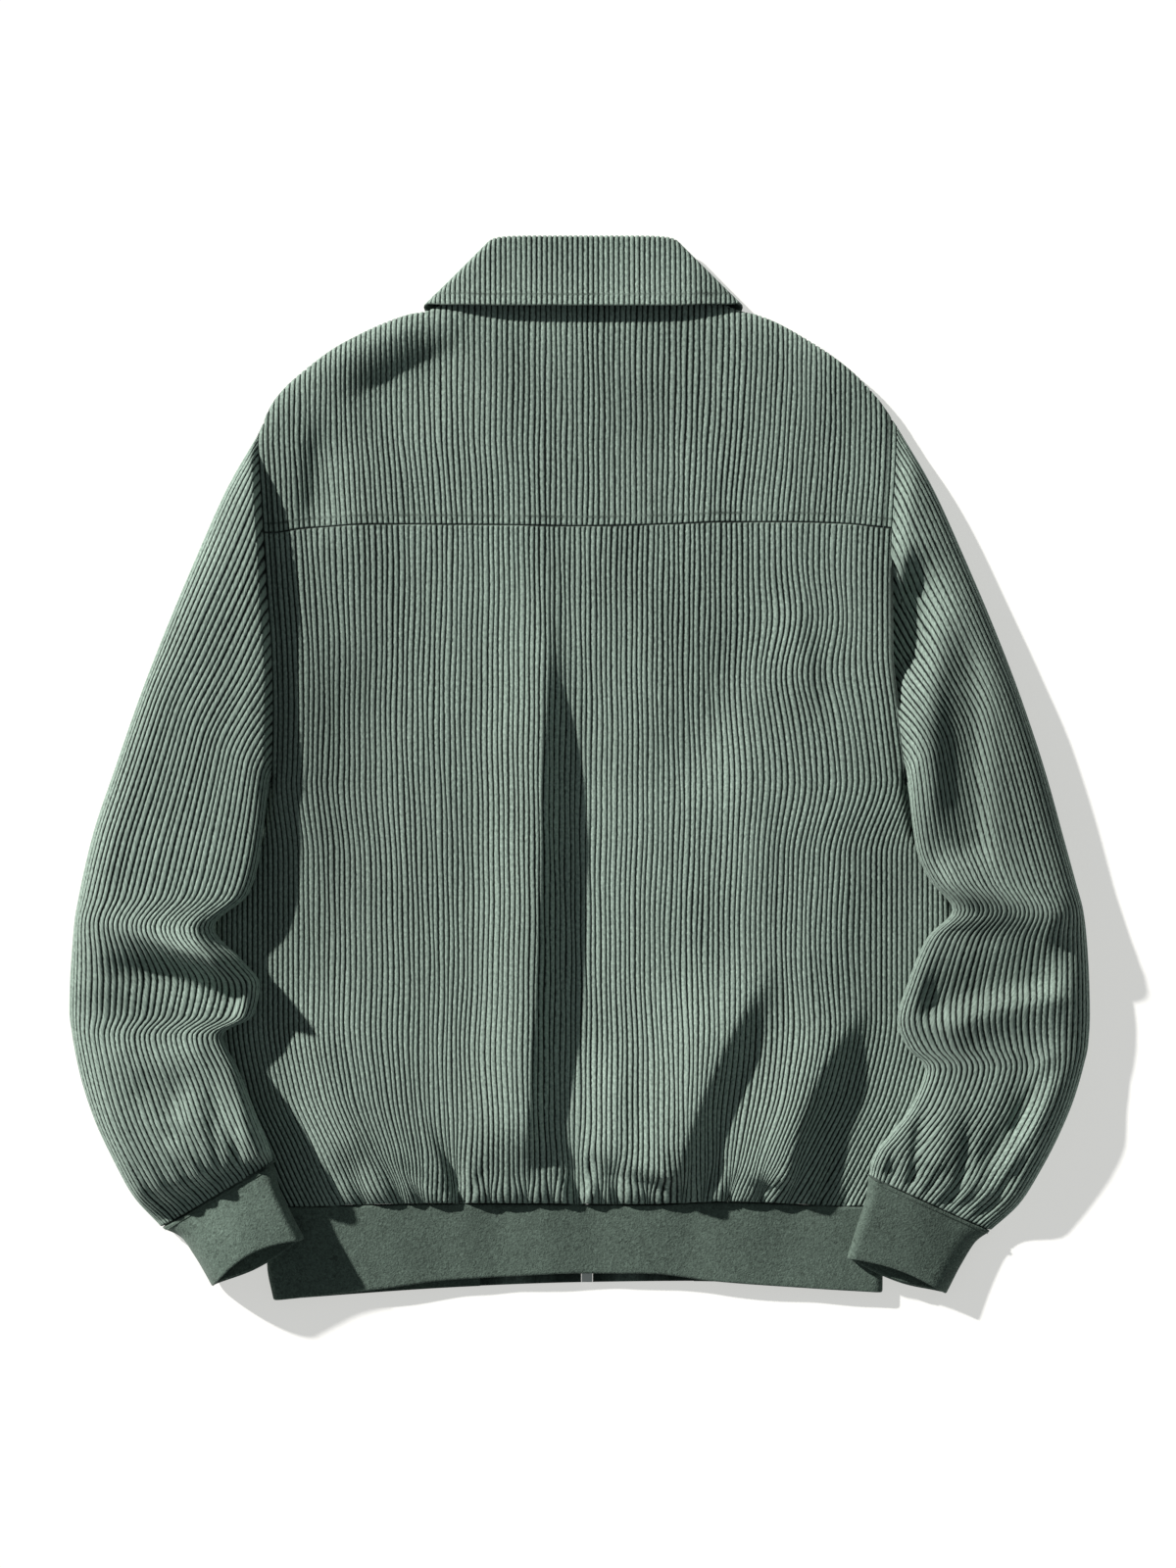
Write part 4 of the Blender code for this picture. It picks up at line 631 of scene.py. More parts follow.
def lengths(grid, axis):
    """Distance from the first row (axis 0) or column (axis 1), in mm."""
    steps = np.linalg.norm(np.diff(grid, axis=axis), axis=2)
    start = np.zeros_like(steps.take([0], axis=axis))
    return np.concatenate([start, np.cumsum(steps, axis=axis)], axis=axis)


def every(count, step, extra=()):
    return np.array(sorted({*range(0, count, step), count - 1, *extra}))


def write_cloth_map(mesh, around, along, wales_round):
    """UV map "cloth": wales across, and the distance along them in wales."""
    loops = np.empty(len(mesh.loops), np.int32)
    mesh.loops.foreach_get("vertex_index", loops)
    u, v = around[loops], along[loops]
    if wales_round:
        starts = np.empty(len(mesh.polygons), np.int32)
        mesh.polygons.foreach_get("loop_start", starts)
        sizes = np.diff(np.append(starts, len(loops)))
        highest = np.repeat(np.maximum.reduceat(u, starts), sizes)
        u = np.where(highest - u > wales_round / 2, u + wales_round, u)
    layer = mesh.uv_layers.new(name="cloth")
    layer.data.foreach_set("uv", np.stack([u, v], axis=1).astype(np.float32).ravel())


def shell(name, outer, wall, phase, relief=None, ring=False, keep=None, row_step=1, column_step=5,
          extra_rows=(), in_plane=()):
    """A closed wall with a fine outer skin, a coarse inner one and rims between them.

    in_plane lists (rows, columns, axis): there the wall's edge stays in the plane across that axis. keep
    says which coarse cells are cloth.
    """
    rows, columns = outer.shape[:2]
    outward = normals_of(outer, ring)
    inward = outward.copy()
    for held_rows, held_columns, axis in in_plane:
        inward[held_rows, held_columns, axis] = 0
    size = np.linalg.norm(inward, axis=2, keepdims=True)
    inward = np.where(size > LEAST_TILT, inward / np.maximum(size, LEAST_TILT), outward)
    row_at = every(rows, row_step, extra_rows)
    if ring:
        column_at = np.append(np.arange(0, columns, column_step), columns)
    else:
        column_at = every(columns, column_step)
    inner_columns = column_at[:-1] if ring else column_at
    picked = np.ix_(row_at, inner_columns)
    inner = outer[picked] - inward[picked] * wall
    inner[..., 2] = np.maximum(inner[..., 2], 0.0)  # nothing goes below what the jacket lies on
    cells = (len(row_at) - 1, len(column_at) - 1)
    keep = np.ones(cells, bool) if keep is None else keep(row_at, column_at)

    def skin(r, c):
        return r * columns + c % columns

    def lining(i, j):
        return rows * columns + i * len(inner_columns) + j % len(inner_columns)

    fine = np.repeat(np.repeat(keep, np.diff(row_at), axis=0), np.diff(column_at), axis=1)
    r, c = np.nonzero(fine)
    faces = np.stack([skin(r, c), skin(r, c + 1), skin(r + 1, c + 1), skin(r + 1, c)], axis=1).tolist()
    i, j = np.nonzero(keep)
    corners = [lining(i, j), lining(i + 1, j), lining(i + 1, j + 1), lining(i, j + 1)]
    faces += np.stack(corners, axis=1).tolist()

    def kept(a, b):
        if ring:
            b %= cells[1]
        return 0 <= a < cells[0] and 0 <= b < cells[1] and keep[a, b]

    for a, b in zip(i.tolist(), j.tolist()):
        r0, r1, c0, c1 = row_at[a], row_at[a + 1], column_at[b], column_at[b + 1]
        up, across = range(r0, r1 + 1), range(c0, c1 + 1)
        if not kept(a - 1, b):
            faces.append([lining(a, b), lining(a, b + 1), *(skin(r0, k) for k in reversed(across))])
        if not kept(a + 1, b):
            faces.append([lining(a + 1, b + 1), lining(a + 1, b), *(skin(r1, k) for k in across)])
        if not kept(a, b - 1):
            faces.append([lining(a + 1, b), lining(a, b), *(skin(k, c0) for k in up)])
        if not kept(a, b + 1):
            faces.append([lining(a, b + 1), lining(a + 1, b + 1), *(skin(k, c1) for k in reversed(up))])

    points = np.concatenate([outer.reshape(-1, 3), inner.reshape(-1, 3)]) * MM
    phase = np.broadcast_to(phase, (rows, columns))
    along = lengths(outer, 0) / WALE
    relief = np.zeros((rows, columns)) if relief is None else relief
    around = np.concatenate([phase.ravel(), phase[picked].ravel()])
    along = np.concatenate([along.ravel(), along[picked].ravel()])
    raised = np.concatenate([relief.ravel(), np.zeros(inner.shape[0] * inner.shape[1])])
    # patches of painted shade and light, and of brushed pile, kept on each point for the materials
    shade_and_nap = shade_and_nap_at(points[:, 0] / MM, points[:, 1] / MM)
    out = np.concatenate([outward.reshape(-1, 3), np.zeros((inner.shape[0] * inner.shape[1], 3))])
    used = np.zeros(len(points), bool)
    used[np.concatenate([np.asarray(face) for face in faces])] = True
    number = np.cumsum(used) - 1
    mesh = bpy.data.meshes.new(name)
    mesh.from_pydata(points[used].tolist(), [], [[int(number[k]) for k in face] for face in faces])
    write_cloth_map(mesh, around[used], along[used], round(phase.max()) if ring else 0)
    for label, kind, values in (
        ("wale", "FLOAT", around[used]), ("relief", "FLOAT", raised[used]), ("shade_and_nap", "FLOAT", shade_and_nap[used]),
        ("outward", "FLOAT_VECTOR", out[used].ravel()),
    ):
        attribute = mesh.attributes.new(label, kind, "POINT")
        attribute.data.foreach_set("value" if kind == "FLOAT" else "vector", values.astype(np.float32))
    piece = bpy.data.objects.new(name, mesh)
    bpy.context.collection.objects.link(piece)
    return piece


def wale_columns(count, closed=False):
    """Phases, in wales, of the columns across count wales."""
    phase = (np.arange(count)[:, None] + np.array(WALE_STEPS)).ravel()
    return phase if closed else np.append(phase, count)


def rows_between(low, high, near_low, near_high, count):
    """Rows from low to high: at the given distances from the ends, and count more between them."""
    first, last = low + near_low[-1], high - near_high[-1]
    middle = first + (last - first) * np.linspace(0, 1, count + 2)[1:-1, None]
    return np.concatenate([
        low + np.array(near_low)[:, None], middle, high - np.array(near_high)[::-1, None],
    ])


def seam_fade(*distances):
    """0 at a seam, 1 away from it, for each distance to one."""
    fade = 1.0
    for distance in distances:
        fade = fade * ease((distance + SEAM_FLAT) / SEAM_TURN)
    return fade


def turn_down(grid, outward, *distances):
    """Cloth turns down into its seams."""
    drop = 0.0
    for distance in distances:
        drop = np.maximum(drop, SEAM_DROP * (1 - rounded(distance / SEAM_TURN)))
    return grid - outward * drop[..., None]


def stitch_groove(distance):
    """Wales pressed flat along a line of stitches."""
    return 1 - GROOVE_DEPTH * bell(distance / GROOVE_WIDTH)


# ---------- Geometry Nodes: wales, stitches, teeth ----------


class Tree:
    """A node tree under construction."""

    def __init__(self, name, kind="GeometryNodeTree"):
        self.tree = bpy.data.node_groups.new(name, kind)

    def socket(self, name, kind, value=None, out=False):
        made = self.tree.interface.new_socket(
            name, in_out="OUTPUT" if out else "INPUT", socket_type="NodeSocket" + kind
        )
        if value is not None:
            made.default_value = value

    def node(self, kind, links=(), **settings):
        made = self.tree.nodes.new(kind)
        for name, value in settings.items():
            setattr(made, name, value)
        for key, value in dict(links).items():
            if isinstance(value, bpy.types.NodeSocket):
                self.tree.links.new(value, made.inputs[key])
            else:
                made.inputs[key].default_value = value
        return made

    def math(self, operation, first, second=0.0, third=0.0):
        links = {0: first, 1: second, 2: third}
        return self.node("ShaderNodeMath", links, operation=operation).outputs[0]

    def attribute(self, name, kind="FLOAT"):
        made = self.node("GeometryNodeInputNamedAttribute", {"Name": name}, data_type=kind)
        return made.outputs["Attribute"]


def wale_shape(tree, wale):
    """1 on the crest of a wale, 0 in the valley between two."""
    place = tree.math("FRACT", wale)
    off = tree.math("ABSOLUTE", tree.math("MULTIPLY_ADD", place, 2.0, -1.0))
    return tree.math("SUBTRACT", 1.0, tree.math("POWER", off, WALE_ROUND))


def make_wales_tree():
    """Presses the cloth in between its wales, along the direction that each point faces."""
    tree = Tree("raise_wales")
    tree.socket("Cloth", "Geometry")
    tree.socket("Height", "Float", WALE_HEIGHT * MM)
    tree.socket("Finish", "Material")
    tree.socket("Cloth", "Geometry", out=True)
    given = tree.node("NodeGroupInput").outputs
    depth = tree.math("SUBTRACT", wale_shape(tree, tree.attribute("wale")), 1.0)
    depth = tree.math("MULTIPLY", depth, tree.attribute("relief"))
    depth = tree.math("MULTIPLY", depth, given["Height"])
    outward = tree.attribute("outward", "FLOAT_VECTOR")
    offset = tree.node("ShaderNodeVectorMath", {0: outward, "Scale": depth}, operation="SCALE")
    moved = tree.node("GeometryNodeSetPosition", {"Geometry": given["Cloth"], "Offset": offset.outputs[0]})
    real = tree.node("GeometryNodeRealizeInstances", {0: moved.outputs[0]})
    done = tree.node("GeometryNodeSetMaterial", {"Geometry": real.outputs[0], "Material": given["Finish"]})
    tree.node("NodeGroupOutput", {0: done.outputs[0]})
    return tree.tree


def make_stitch_tree():
    """Threads laid end to end on each path, long along it."""
    tree = Tree("stitch_line")
    tree.socket("Paths", "Geometry")
    tree.socket("Pitch", "Float", STITCH_PITCH * MM)
    tree.socket("Long", "Float", STITCH_LONG * MM)
    tree.socket("Wide", "Float", STITCH_WIDE * MM)
    tree.socket("Finish", "Material")
    tree.socket("Stitches", "Geometry", out=True)
    given = tree.node("NodeGroupInput").outputs
    curve = tree.node("GeometryNodeMeshToCurve", {"Mesh": given["Paths"]})
    points = tree.node(
        "GeometryNodeCurveToPoints", {"Curve": curve.outputs[0], "Length": given["Pitch"]}, mode="LENGTH"
    )
    thread = tree.node("GeometryNodeMeshUVSphere", {"Segments": 6, "Rings": 5, "Radius": 0.5})
    size = tree.node("ShaderNodeCombineXYZ", {"X": given["Wide"], "Y": given["Wide"], "Z": given["Long"]})
    placed = tree.node("GeometryNodeInstanceOnPoints", {
        "Points": points.outputs["Points"], "Instance": thread.outputs["Mesh"],
        "Rotation": points.outputs["Rotation"], "Scale": size.outputs[0],
    })
    real = tree.node("GeometryNodeRealizeInstances", {0: placed.outputs[0]})
    smooth = tree.node("GeometryNodeSetShadeSmooth", {"Geometry": real.outputs[0]})
    done = tree.node("GeometryNodeSetMaterial", {"Geometry": smooth.outputs[0], "Material": given["Finish"]})
    tree.node("NodeGroupOutput", {0: done.outputs[0]})
    return tree.tree


def make_teeth_tree():
    """Metal teeth along a path, every other one set to the other side."""
    tree = Tree("zip_teeth")
    tree.socket("Paths", "Geometry")
    tree.socket("Pitch", "Float", TOOTH_PITCH * MM)
    tree.socket("Reach", "Float", TOOTH_REACH * MM)
    tree.socket("Finish", "Material")
    tree.socket("Teeth", "Geometry", out=True)
    given = tree.node("NodeGroupInput").outputs
    curve = tree.node("GeometryNodeMeshToCurve", {"Mesh": given["Paths"]})
    points = tree.node(
        "GeometryNodeCurveToPoints", {"Curve": curve.outputs[0], "Length": given["Pitch"]}, mode="LENGTH"
    )
    index = tree.node("GeometryNodeInputIndex").outputs[0]
    side = tree.math("MULTIPLY_ADD", tree.math("MODULO", index, 2.0), 2.0, -1.0)
    shift = tree.math("MULTIPLY", side, tree.math("MULTIPLY", given["Reach"], TOOTH_OFFSET))
    offset = tree.node("ShaderNodeCombineXYZ", {"X": shift})
    apart = tree.node(
        "GeometryNodeSetPosition", {"Geometry": points.outputs["Points"], "Offset": offset.outputs[0]}
    )
    size = {"X": given["Reach"], "Y": TOOTH_LONG * MM, "Z": TOOTH_HIGH * MM}
    size = tree.node("ShaderNodeCombineXYZ", size)
    tooth = tree.node("GeometryNodeMeshCube", {"Size": size.outputs[0]})
    placed = tree.node(
        "GeometryNodeInstanceOnPoints", {"Points": apart.outputs[0], "Instance": tooth.outputs["Mesh"]}
    )
    real = tree.node("GeometryNodeRealizeInstances", {0: placed.outputs[0]})
    done = tree.node("GeometryNodeSetMaterial", {"Geometry": real.outputs[0], "Material": given["Finish"]})
    tree.node("NodeGroupOutput", {0: done.outputs[0]})
    return tree.tree


def build_with(piece, tree, **values):
    """Runs a tree on a piece and keeps the plain mesh."""
    modifier = piece.modifiers.new("build", "NODES")
    modifier.node_group = tree
    for item in tree.interface.items_tree:
        if item.in_out == "INPUT" and item.name in values:
            modifier[item.identifier] = values[item.name]
    bpy.context.view_layer.update()
    evaluated = piece.evaluated_get(bpy.context.evaluated_depsgraph_get())
    mesh = bpy.data.meshes.new_from_object(evaluated)
    piece.modifiers.remove(modifier)
    mesh.name = piece.name
    piece.data = mesh
    return piece


def paths_object(name, lines):
    """Loose edges along each line of points, in mm."""
    points, edges = [], []
    for line in lines:
        first = len(points)
        points += (np.asarray(line) * MM).tolist()
        edges += [(first + k, first + k + 1) for k in range(len(line) - 1)]
    mesh = bpy.data.meshes.new(name)
    mesh.from_pydata(points, edges, [])
    piece = bpy.data.objects.new(name, mesh)
    bpy.context.collection.objects.link(piece)
    return piece


# ---------- pieces of the body ----------


def back_across(cloth, y):
    """Where a wale of the back lies: cloth is its place in the flat panel, in mm from the middle."""
    core_left = BACK_LEFT + WING_WALES * WALE
    core_right = BACK_LEFT + (BACK_WALES - WING_WALES) * WALE
    end_right = BACK_LEFT + BACK_WALES * WALE
    open_side = ease((y - WING_Y) / (UNDERARM_Y - WING_Y))
    near_left = ease((core_left + SPREAD - cloth) / SPREAD)
    near_left = near_left * np.clip((cloth - BACK_LEFT) / (core_left - BACK_LEFT), 0, 1)
    near_right = ease((cloth - core_right + SPREAD) / SPREAD)
    near_right = near_right * np.clip((end_right - cloth) / (end_right - core_right), 0, 1)
    level = np.maximum(y, UNDERARM_Y)
    x = cloth + (body_at("left", level) - core_left) * near_left * open_side
    x = x + (body_at("right", level) - core_right) * near_right * open_side
    low = np.minimum(y, BULGE_Y)
    x = x + (body_at("left", low) - BACK_LEFT) * ease((-cloth - LOW_LEFT[0]) / LOW_LEFT[1])
    x = x + (body_at("right", low) - end_right) * ease((cloth - LOW_RIGHT[0]) / LOW_RIGHT[1])
    inside = ease(np.minimum(cloth - core_left, core_right - cloth) / STRAY_RISE)
    for slide in BACK_SLIDES:
        near = bell((cloth - slide.x) / slide.reach_x) * bell((y - slide.y) / slide.reach_y)
        x = x + slide.shift * near * inside
    return x + (gather_pinch(x, y) + wander(cloth, y)) * inside


def side_height(side, cloth):
    """Height up the jacket at which the side seam's curve under the arm meets a wale."""
    y = np.linspace(BULGE_Y, UNDERARM_Y, 300)
    reach = np.abs(body_at(side, y))
    return np.interp(-np.abs(cloth), -reach, y)


def make_back_panel(finish):
    phase = wale_columns(BACK_WALES)
    cloth = BACK_LEFT + phase * WALE
    wing = WING_WALES * len(WALE_STEPS)
    middle = np.full(len(cloth), UNDERARM_Y)
    middle[: wing + 1] = side_height("left", cloth[: wing + 1])
    middle[-wing - 1:] = side_height("right", cloth[-wing - 1:])
    middle[wing] = middle[-wing - 1] = UNDERARM_Y
    low = edge_y(HEM_SEAM, back_across(cloth, HEM_Y)) + GAP / 2
    high = edge_y(YOKE_SEAM, back_across(cloth, YOKE_Y)) - GAP / 2
    lower = rows_between(low, middle, SEAM_NEAR, (0.0,), count=61)
    upper = rows_between(middle, high, (0.0,), SEAM_NEAR, count=32)
    y = np.concatenate([lower, upper[1:]])
    turn_row = len(lower) - 1
    x = back_across(cloth, y)
    x[turn_row, :wing] = body_at("left", middle[:wing])
    x[turn_row, -wing:] = body_at("right", middle[-wing:])
    for end, word in ((0, "left"), (-1, "right")):
        x[:, end] = np.where(y[:, end] <= BULGE_Y, body_at(word, y[:, end]), x[:, end])
    grid = stack(x, y, back_z(x, y))
    hem, yoke = y - low, high - y
    armhole = from_armhole(x, y)
    grid = turn_down(grid, normals_of(grid, False), hem, yoke, armhole)
    relief = seam_fade(hem, yoke, armhole) * stitch_groove(armhole - STITCH_FROM_EDGE)

    def keep(row_at, column_at):
        below = row_at[:-1] < turn_row
        core = (column_at[:-1] >= wing) & (column_at[1:] <= len(cloth) - 1 - wing)
        return below[:, None] | core[None, :]

    above = slice(turn_row + OPEN_ROWS, None)
    holds = [
        (0, slice(None), 1), (-1, slice(None), 1), (above, wing, 0), (above, -wing - 1, 0),
        (slice(0, turn_row), 0, 2), (slice(0, turn_row), -1, 2),
        (turn_row, slice(0, wing), 2), (turn_row, slice(-wing, None), 2),
    ]
    piece = shell(
        "back_panel_corduroy", grid, CLOTH, phase, relief, keep=keep, extra_rows=(turn_row,), in_plane=holds
    )
    return build_with(piece, finish.wales, Finish=finish.corduroy)


def make_yoke(finish):
    phase = wale_columns(YOKE_WALES)
    share = phase / YOKE_WALES

    def across(height):
        left, right = body_at("left", height), body_at("right", height)
        x = left + share * (right - left)
        return x + sum(
            slide.shift * bell((x - slide.x) / slide.reach_x) * ease((height - slide.y) / slide.reach_y)
            for slide in YOKE_SLIDES
        )

    low = edge_y(YOKE_SEAM, across(YOKE_Y)) + GAP / 2
    top_x = across(SHOULDER_Y)
    top = edge_y(BACK_TOP, top_x) - GAP / 2 * (1 - neck_turn(top_x))
    slant = np.sqrt(1 + edge_slope(BACK_TOP, top_x) ** 2)
    roll = SHOULDER_ROLL * (1 - np.cos(np.linspace(math.pi / 2, 0, 9)))
    stitched = SEAM_NEAR + tuple(STITCH_FROM_EDGE + off for off in STITCH_ROWS)
    y = np.concatenate([
        rows_between(low, top - roll[0] * slant, stitched, (0.0,), count=26)[:-1],
        top - roll[:, None] * slant,
    ])
    x = across(y)
    free = ease((from_sides(x, y) - CALM_SIDE[0]) / CALM_SIDE[1])
    free = free * ease((from_shoulder(BACK_TOP, x, y) - CALM_SHOULDER[0]) / CALM_SHOULDER[1])
    x = x + wander(x, y) * free
    z = back_z(x, y)
    z[-1] += GAP / 2 * neck_turn(top_x)
    grid = stack(x, y, z)
    seam = y - low
    armhole = from_sides(x, y)
    neck = np.where(neck_turn(x) < 0.5, from_shoulder(BACK_TOP, x, y), NO_SEAM)
    grid = turn_down(grid, normals_of(grid, False), seam, armhole, neck)
    relief = seam_fade(seam, armhole, neck)
    relief = relief * stitch_groove(seam - STITCH_FROM_EDGE) * stitch_groove(armhole - STITCH_FROM_EDGE)
    folded = np.where(neck_turn(top_x) > 0.5)[0]
    open_neck = np.where(neck_turn(top_x) <= 0.5)[0]
    ends = [(slice(None), 0, 0), (slice(None), -1, 0)]
    holds = [(0, slice(None), 1), *ends, (-1, folded, 2), (-1, open_neck, 1)]
    piece = shell("back_yoke_corduroy", grid, CLOTH, phase, relief, in_plane=holds)
    return build_with(piece, finish.wales, Finish=finish.corduroy)


def make_front(side, finish):
    """A plain front whose outer face lies on the floor."""
    phase = wale_columns(FRONT_WALES)
    share = phase / FRONT_WALES

    def across(height):
        outer = body_at(side.word, height)
        return outer + share * (ZIP_X + side.sign * FRONT_EDGE - outer)

    top_x = across(SHOULDER_Y)
    top = edge_y(FRONT_TOP, top_x) - GAP / 2 * (1 - neck_turn(top_x))
    slant = np.sqrt(1 + edge_slope(FRONT_TOP, top_x) ** 2)
    low = edge_y(HEM_SEAM, across(HEM_Y)) + GAP / 2
    roll = FLOOR_ROLL * (1 - np.cos(np.linspace(math.pi / 2, 0, 6)))
    y = np.concatenate([
        rows_between(low, top - roll[0] * slant, SEAM_NEAR, (0.0,), count=72)[:-1],
        top - roll[:, None] * slant,
    ])
    x = across(y)
    z = front_z(x, y)
    z[-1] -= GAP / 2 * neck_turn(top_x)
    z[:, 0] -= GAP / 2 * side_turn(y[:, 0], FRONT_TURN)
    grid = stack(x, y, z)
    armhole = from_armhole(x, y)
    relief = seam_fade(y - low, armhole, abs(x - ZIP_X - side.sign * FRONT_EDGE))
    relief = relief * stitch_groove(armhole - STITCH_FROM_EDGE)
    if side.sign < 0:
        grid, relief = grid[:, ::-1], relief[:, ::-1]
    outer_column = -1 if side.sign < 0 else 0
    above = np.where(y[:, 0] > UNDERARM_Y + FRONT_TURN)[0]
    seam = np.where(y[:, 0] <= UNDERARM_Y + FRONT_TURN)[0]
    folded = np.where((neck_turn(top_x) > 0.5)[::side.sign])[0]
    holds = [(0, slice(None), 1), (above, outer_column, 0), (seam, outer_column, 2), (-1, folded, 2)]
    phase = phase if side.sign > 0 else FRONT_WALES - phase[::-1]
    piece = shell(f"front_{side.word}_corduroy", grid, CLOTH, phase, relief, in_plane=holds)
    return build_with(piece, finish.wales, Finish=finish.corduroy)


# ---------- sleeves and cuffs ----------


def tube_heights(share, on_top, top, support):
    """Heights round a flattened tube: share is 0 at its outer edge, 1 at its inner one."""
    inner_z = (support + top) / 2
    upper = top - (top - OUTER_Z) * (1 - rounded(share / OUTER_ROLL))
    upper = upper - (top - inner_z) * (1 - rounded((1 - share) / INNER_ROLL))
    lower = support + (OUTER_Z - support) * (1 - rounded(share / LOWER_ROLL))
    lower = lower + (inner_z - support) * (1 - rounded((1 - share) / LOWER_ROLL))
    return np.where(on_top, upper, lower)


def ring_columns(phase, wales, width, top):
    """Shares across a flattened tube for columns at even distances round it, and which are on top."""
    turn = (1 - np.cos(np.linspace(0, math.pi, 400))) / 2
    share = np.concatenate([turn, turn[::-1][1:-1]])
    on_top = np.arange(len(share)) < len(turn)
    z = tube_heights(share, on_top, top, 0.0)
    steps = np.hypot(np.diff(share * width, append=0.0), np.diff(z, append=z[0]))
    around = np.concatenate([[0], np.cumsum(steps)])
    wanted = phase / wales * around[-1]
    half = around[len(turn) - 1]
    on_top = wanted <= half
    share = np.interp(wanted, around, np.append(share, 0.0))
    return share, on_top


def row_points(rows, at, share):
    """Places in the table's rows: at counts rows, share goes from the outer end to the inner one."""
    keys = np.arange(len(rows), dtype=float)
    outer_x, outer_y, inner_x, inner_y = (
        read(keys, column(rows, name), at) for name in ("outer_x", "outer_y", "inner_x", "inner_y")
    )
    return outer_x + (inner_x - outer_x) * share, outer_y + (inner_y - outer_y) * share


def row_tops(rows, at):
    return read(np.arange(len(rows), dtype=float), column(rows, "top"), at)


def armhole_start(side, share):
    """The row at which each column of a sleeve crosses the armhole seam."""
    at = np.linspace(0, ARMHOLE_ROWS, 620)[:, None]
    x, y = row_points(side.sleeve, at, share)
    outside = side.sign * x - abs(body_at(side.word, y)) + SEAM_TUCK
    inside = outside[:-1] < 0
    last = len(inside) - 1 - inside[::-1].argmax(axis=0)
    return np.where(inside.any(axis=0), at[np.minimum(last + 1, len(at) - 1), 0], 0.0)


def sleeve_places(side, share):
    """Rows of the mesh, as places in the table: slanted from the armhole, then level down to the cuff."""
    last = len(side.sleeve) - 1.0
    start = armhole_start(side, share)
    slanted = np.concatenate([ARMHOLE_NEAR, 0.04 + 0.96 * np.linspace(0, 1, 31) ** 1.25])
    level = np.append(
        np.linspace(LEVEL_ROW, last - CUFF_ROWS, 66), np.linspace(last - CUFF_ROWS, last, 6)[1:]
    )
    return start, np.concatenate([
        start + (LEVEL_ROW - start) * slanted[:-1, None], np.repeat(level[:, None], len(share), axis=1),
    ])


def sleeve_grid(side):
    phase = wale_columns(SLEEVE_WALES, closed=True)
    share, on_top = ring_columns(phase, SLEEVE_WALES, SLEEVE_WIDE, SLEEVE_HIGH)
    last = len(side.sleeve) - 1.0
    start, at = sleeve_places(side, share)
    stray = wander(SLEEVE_WIDE * share, ROW_LONG * at) / SLEEVE_WIDE
    stray = stray * ease(share / CALM_SHARE) * ease((1 - share) / CALM_SHARE)
    x, y = row_points(side.sleeve, at, share + stray * ease((at - start) / CALM_ROWS))
    x[-1] += side.sign * GAP
    y[-1] += GAP
    top = row_tops(side.sleeve, at)
    support = support_z(x, y)
    near_cuff = ease((at - (last - CUFF_REACH)) / CUFF_REACH)
    top = top + (loft_z(x, y) + side.cuff[0].top - top) * near_cuff
    middle = ease(share / FOLD_OUTER) * ease((1 - share) / FOLD_INNER)
    top = top + fold_height(x, y, side.folds) * middle * (1 - near_cuff)
    top = top + fold_height(x, y, side.creases) * middle * ease((last - at) / CREASE_END)
    puff = ease((at - (last - PUFF_ROWS)) / PUFF_RISE)
    puff = puff * (1 - PUFF_CUT * ease((at - (last - PUFF_END)) / PUFF_END))
    for gather in CUFF_GATHERS:
        top = top - side.gathers * puff * bell((share - gather) / CUFF_GATHER_WIDTH)
    z = tube_heights(share, on_top, top, support)
    along = np.hypot(x - x[0], y - y[0])
    seam_z = np.where(on_top, back_z(x[0], y[0]), front_z(x[0], y[0]))
    z = seam_z + (z - seam_z) * ease(along / side.join)
    z = z + fold_height(x, y, side.dips) * ease(along / DIP_START) * on_top
    z = np.where(on_top, np.maximum(z, support + LEAST_RISE), z)
    return stack(x, y, z), phase


def make_sleeve(side, finish):
    grid, phase = sleeve_grid(side)
    if side.sign < 0:
        grid, phase = grid[:, ::-1], SLEEVE_WALES - phase[::-1]
        grid, phase = np.roll(grid, 1, axis=1), np.roll(phase, 1)
        phase[0] = 0.0
    from_top = lengths(grid, 0)
    from_cuff = from_top[-1] - from_top
    grid = turn_down(grid, normals_of(grid, True), from_top, from_cuff)
    grid[..., 2] = np.maximum(grid[..., 2], 0.0)
    relief = seam_fade(from_top, from_cuff)
    name = f"sleeve_{side.word}_corduroy"
    piece = shell(name, grid, CLOTH, phase, relief, ring=True, in_plane=[(0, slice(None), 0)])
    return build_with(piece, finish.wales, Finish=finish.corduroy)


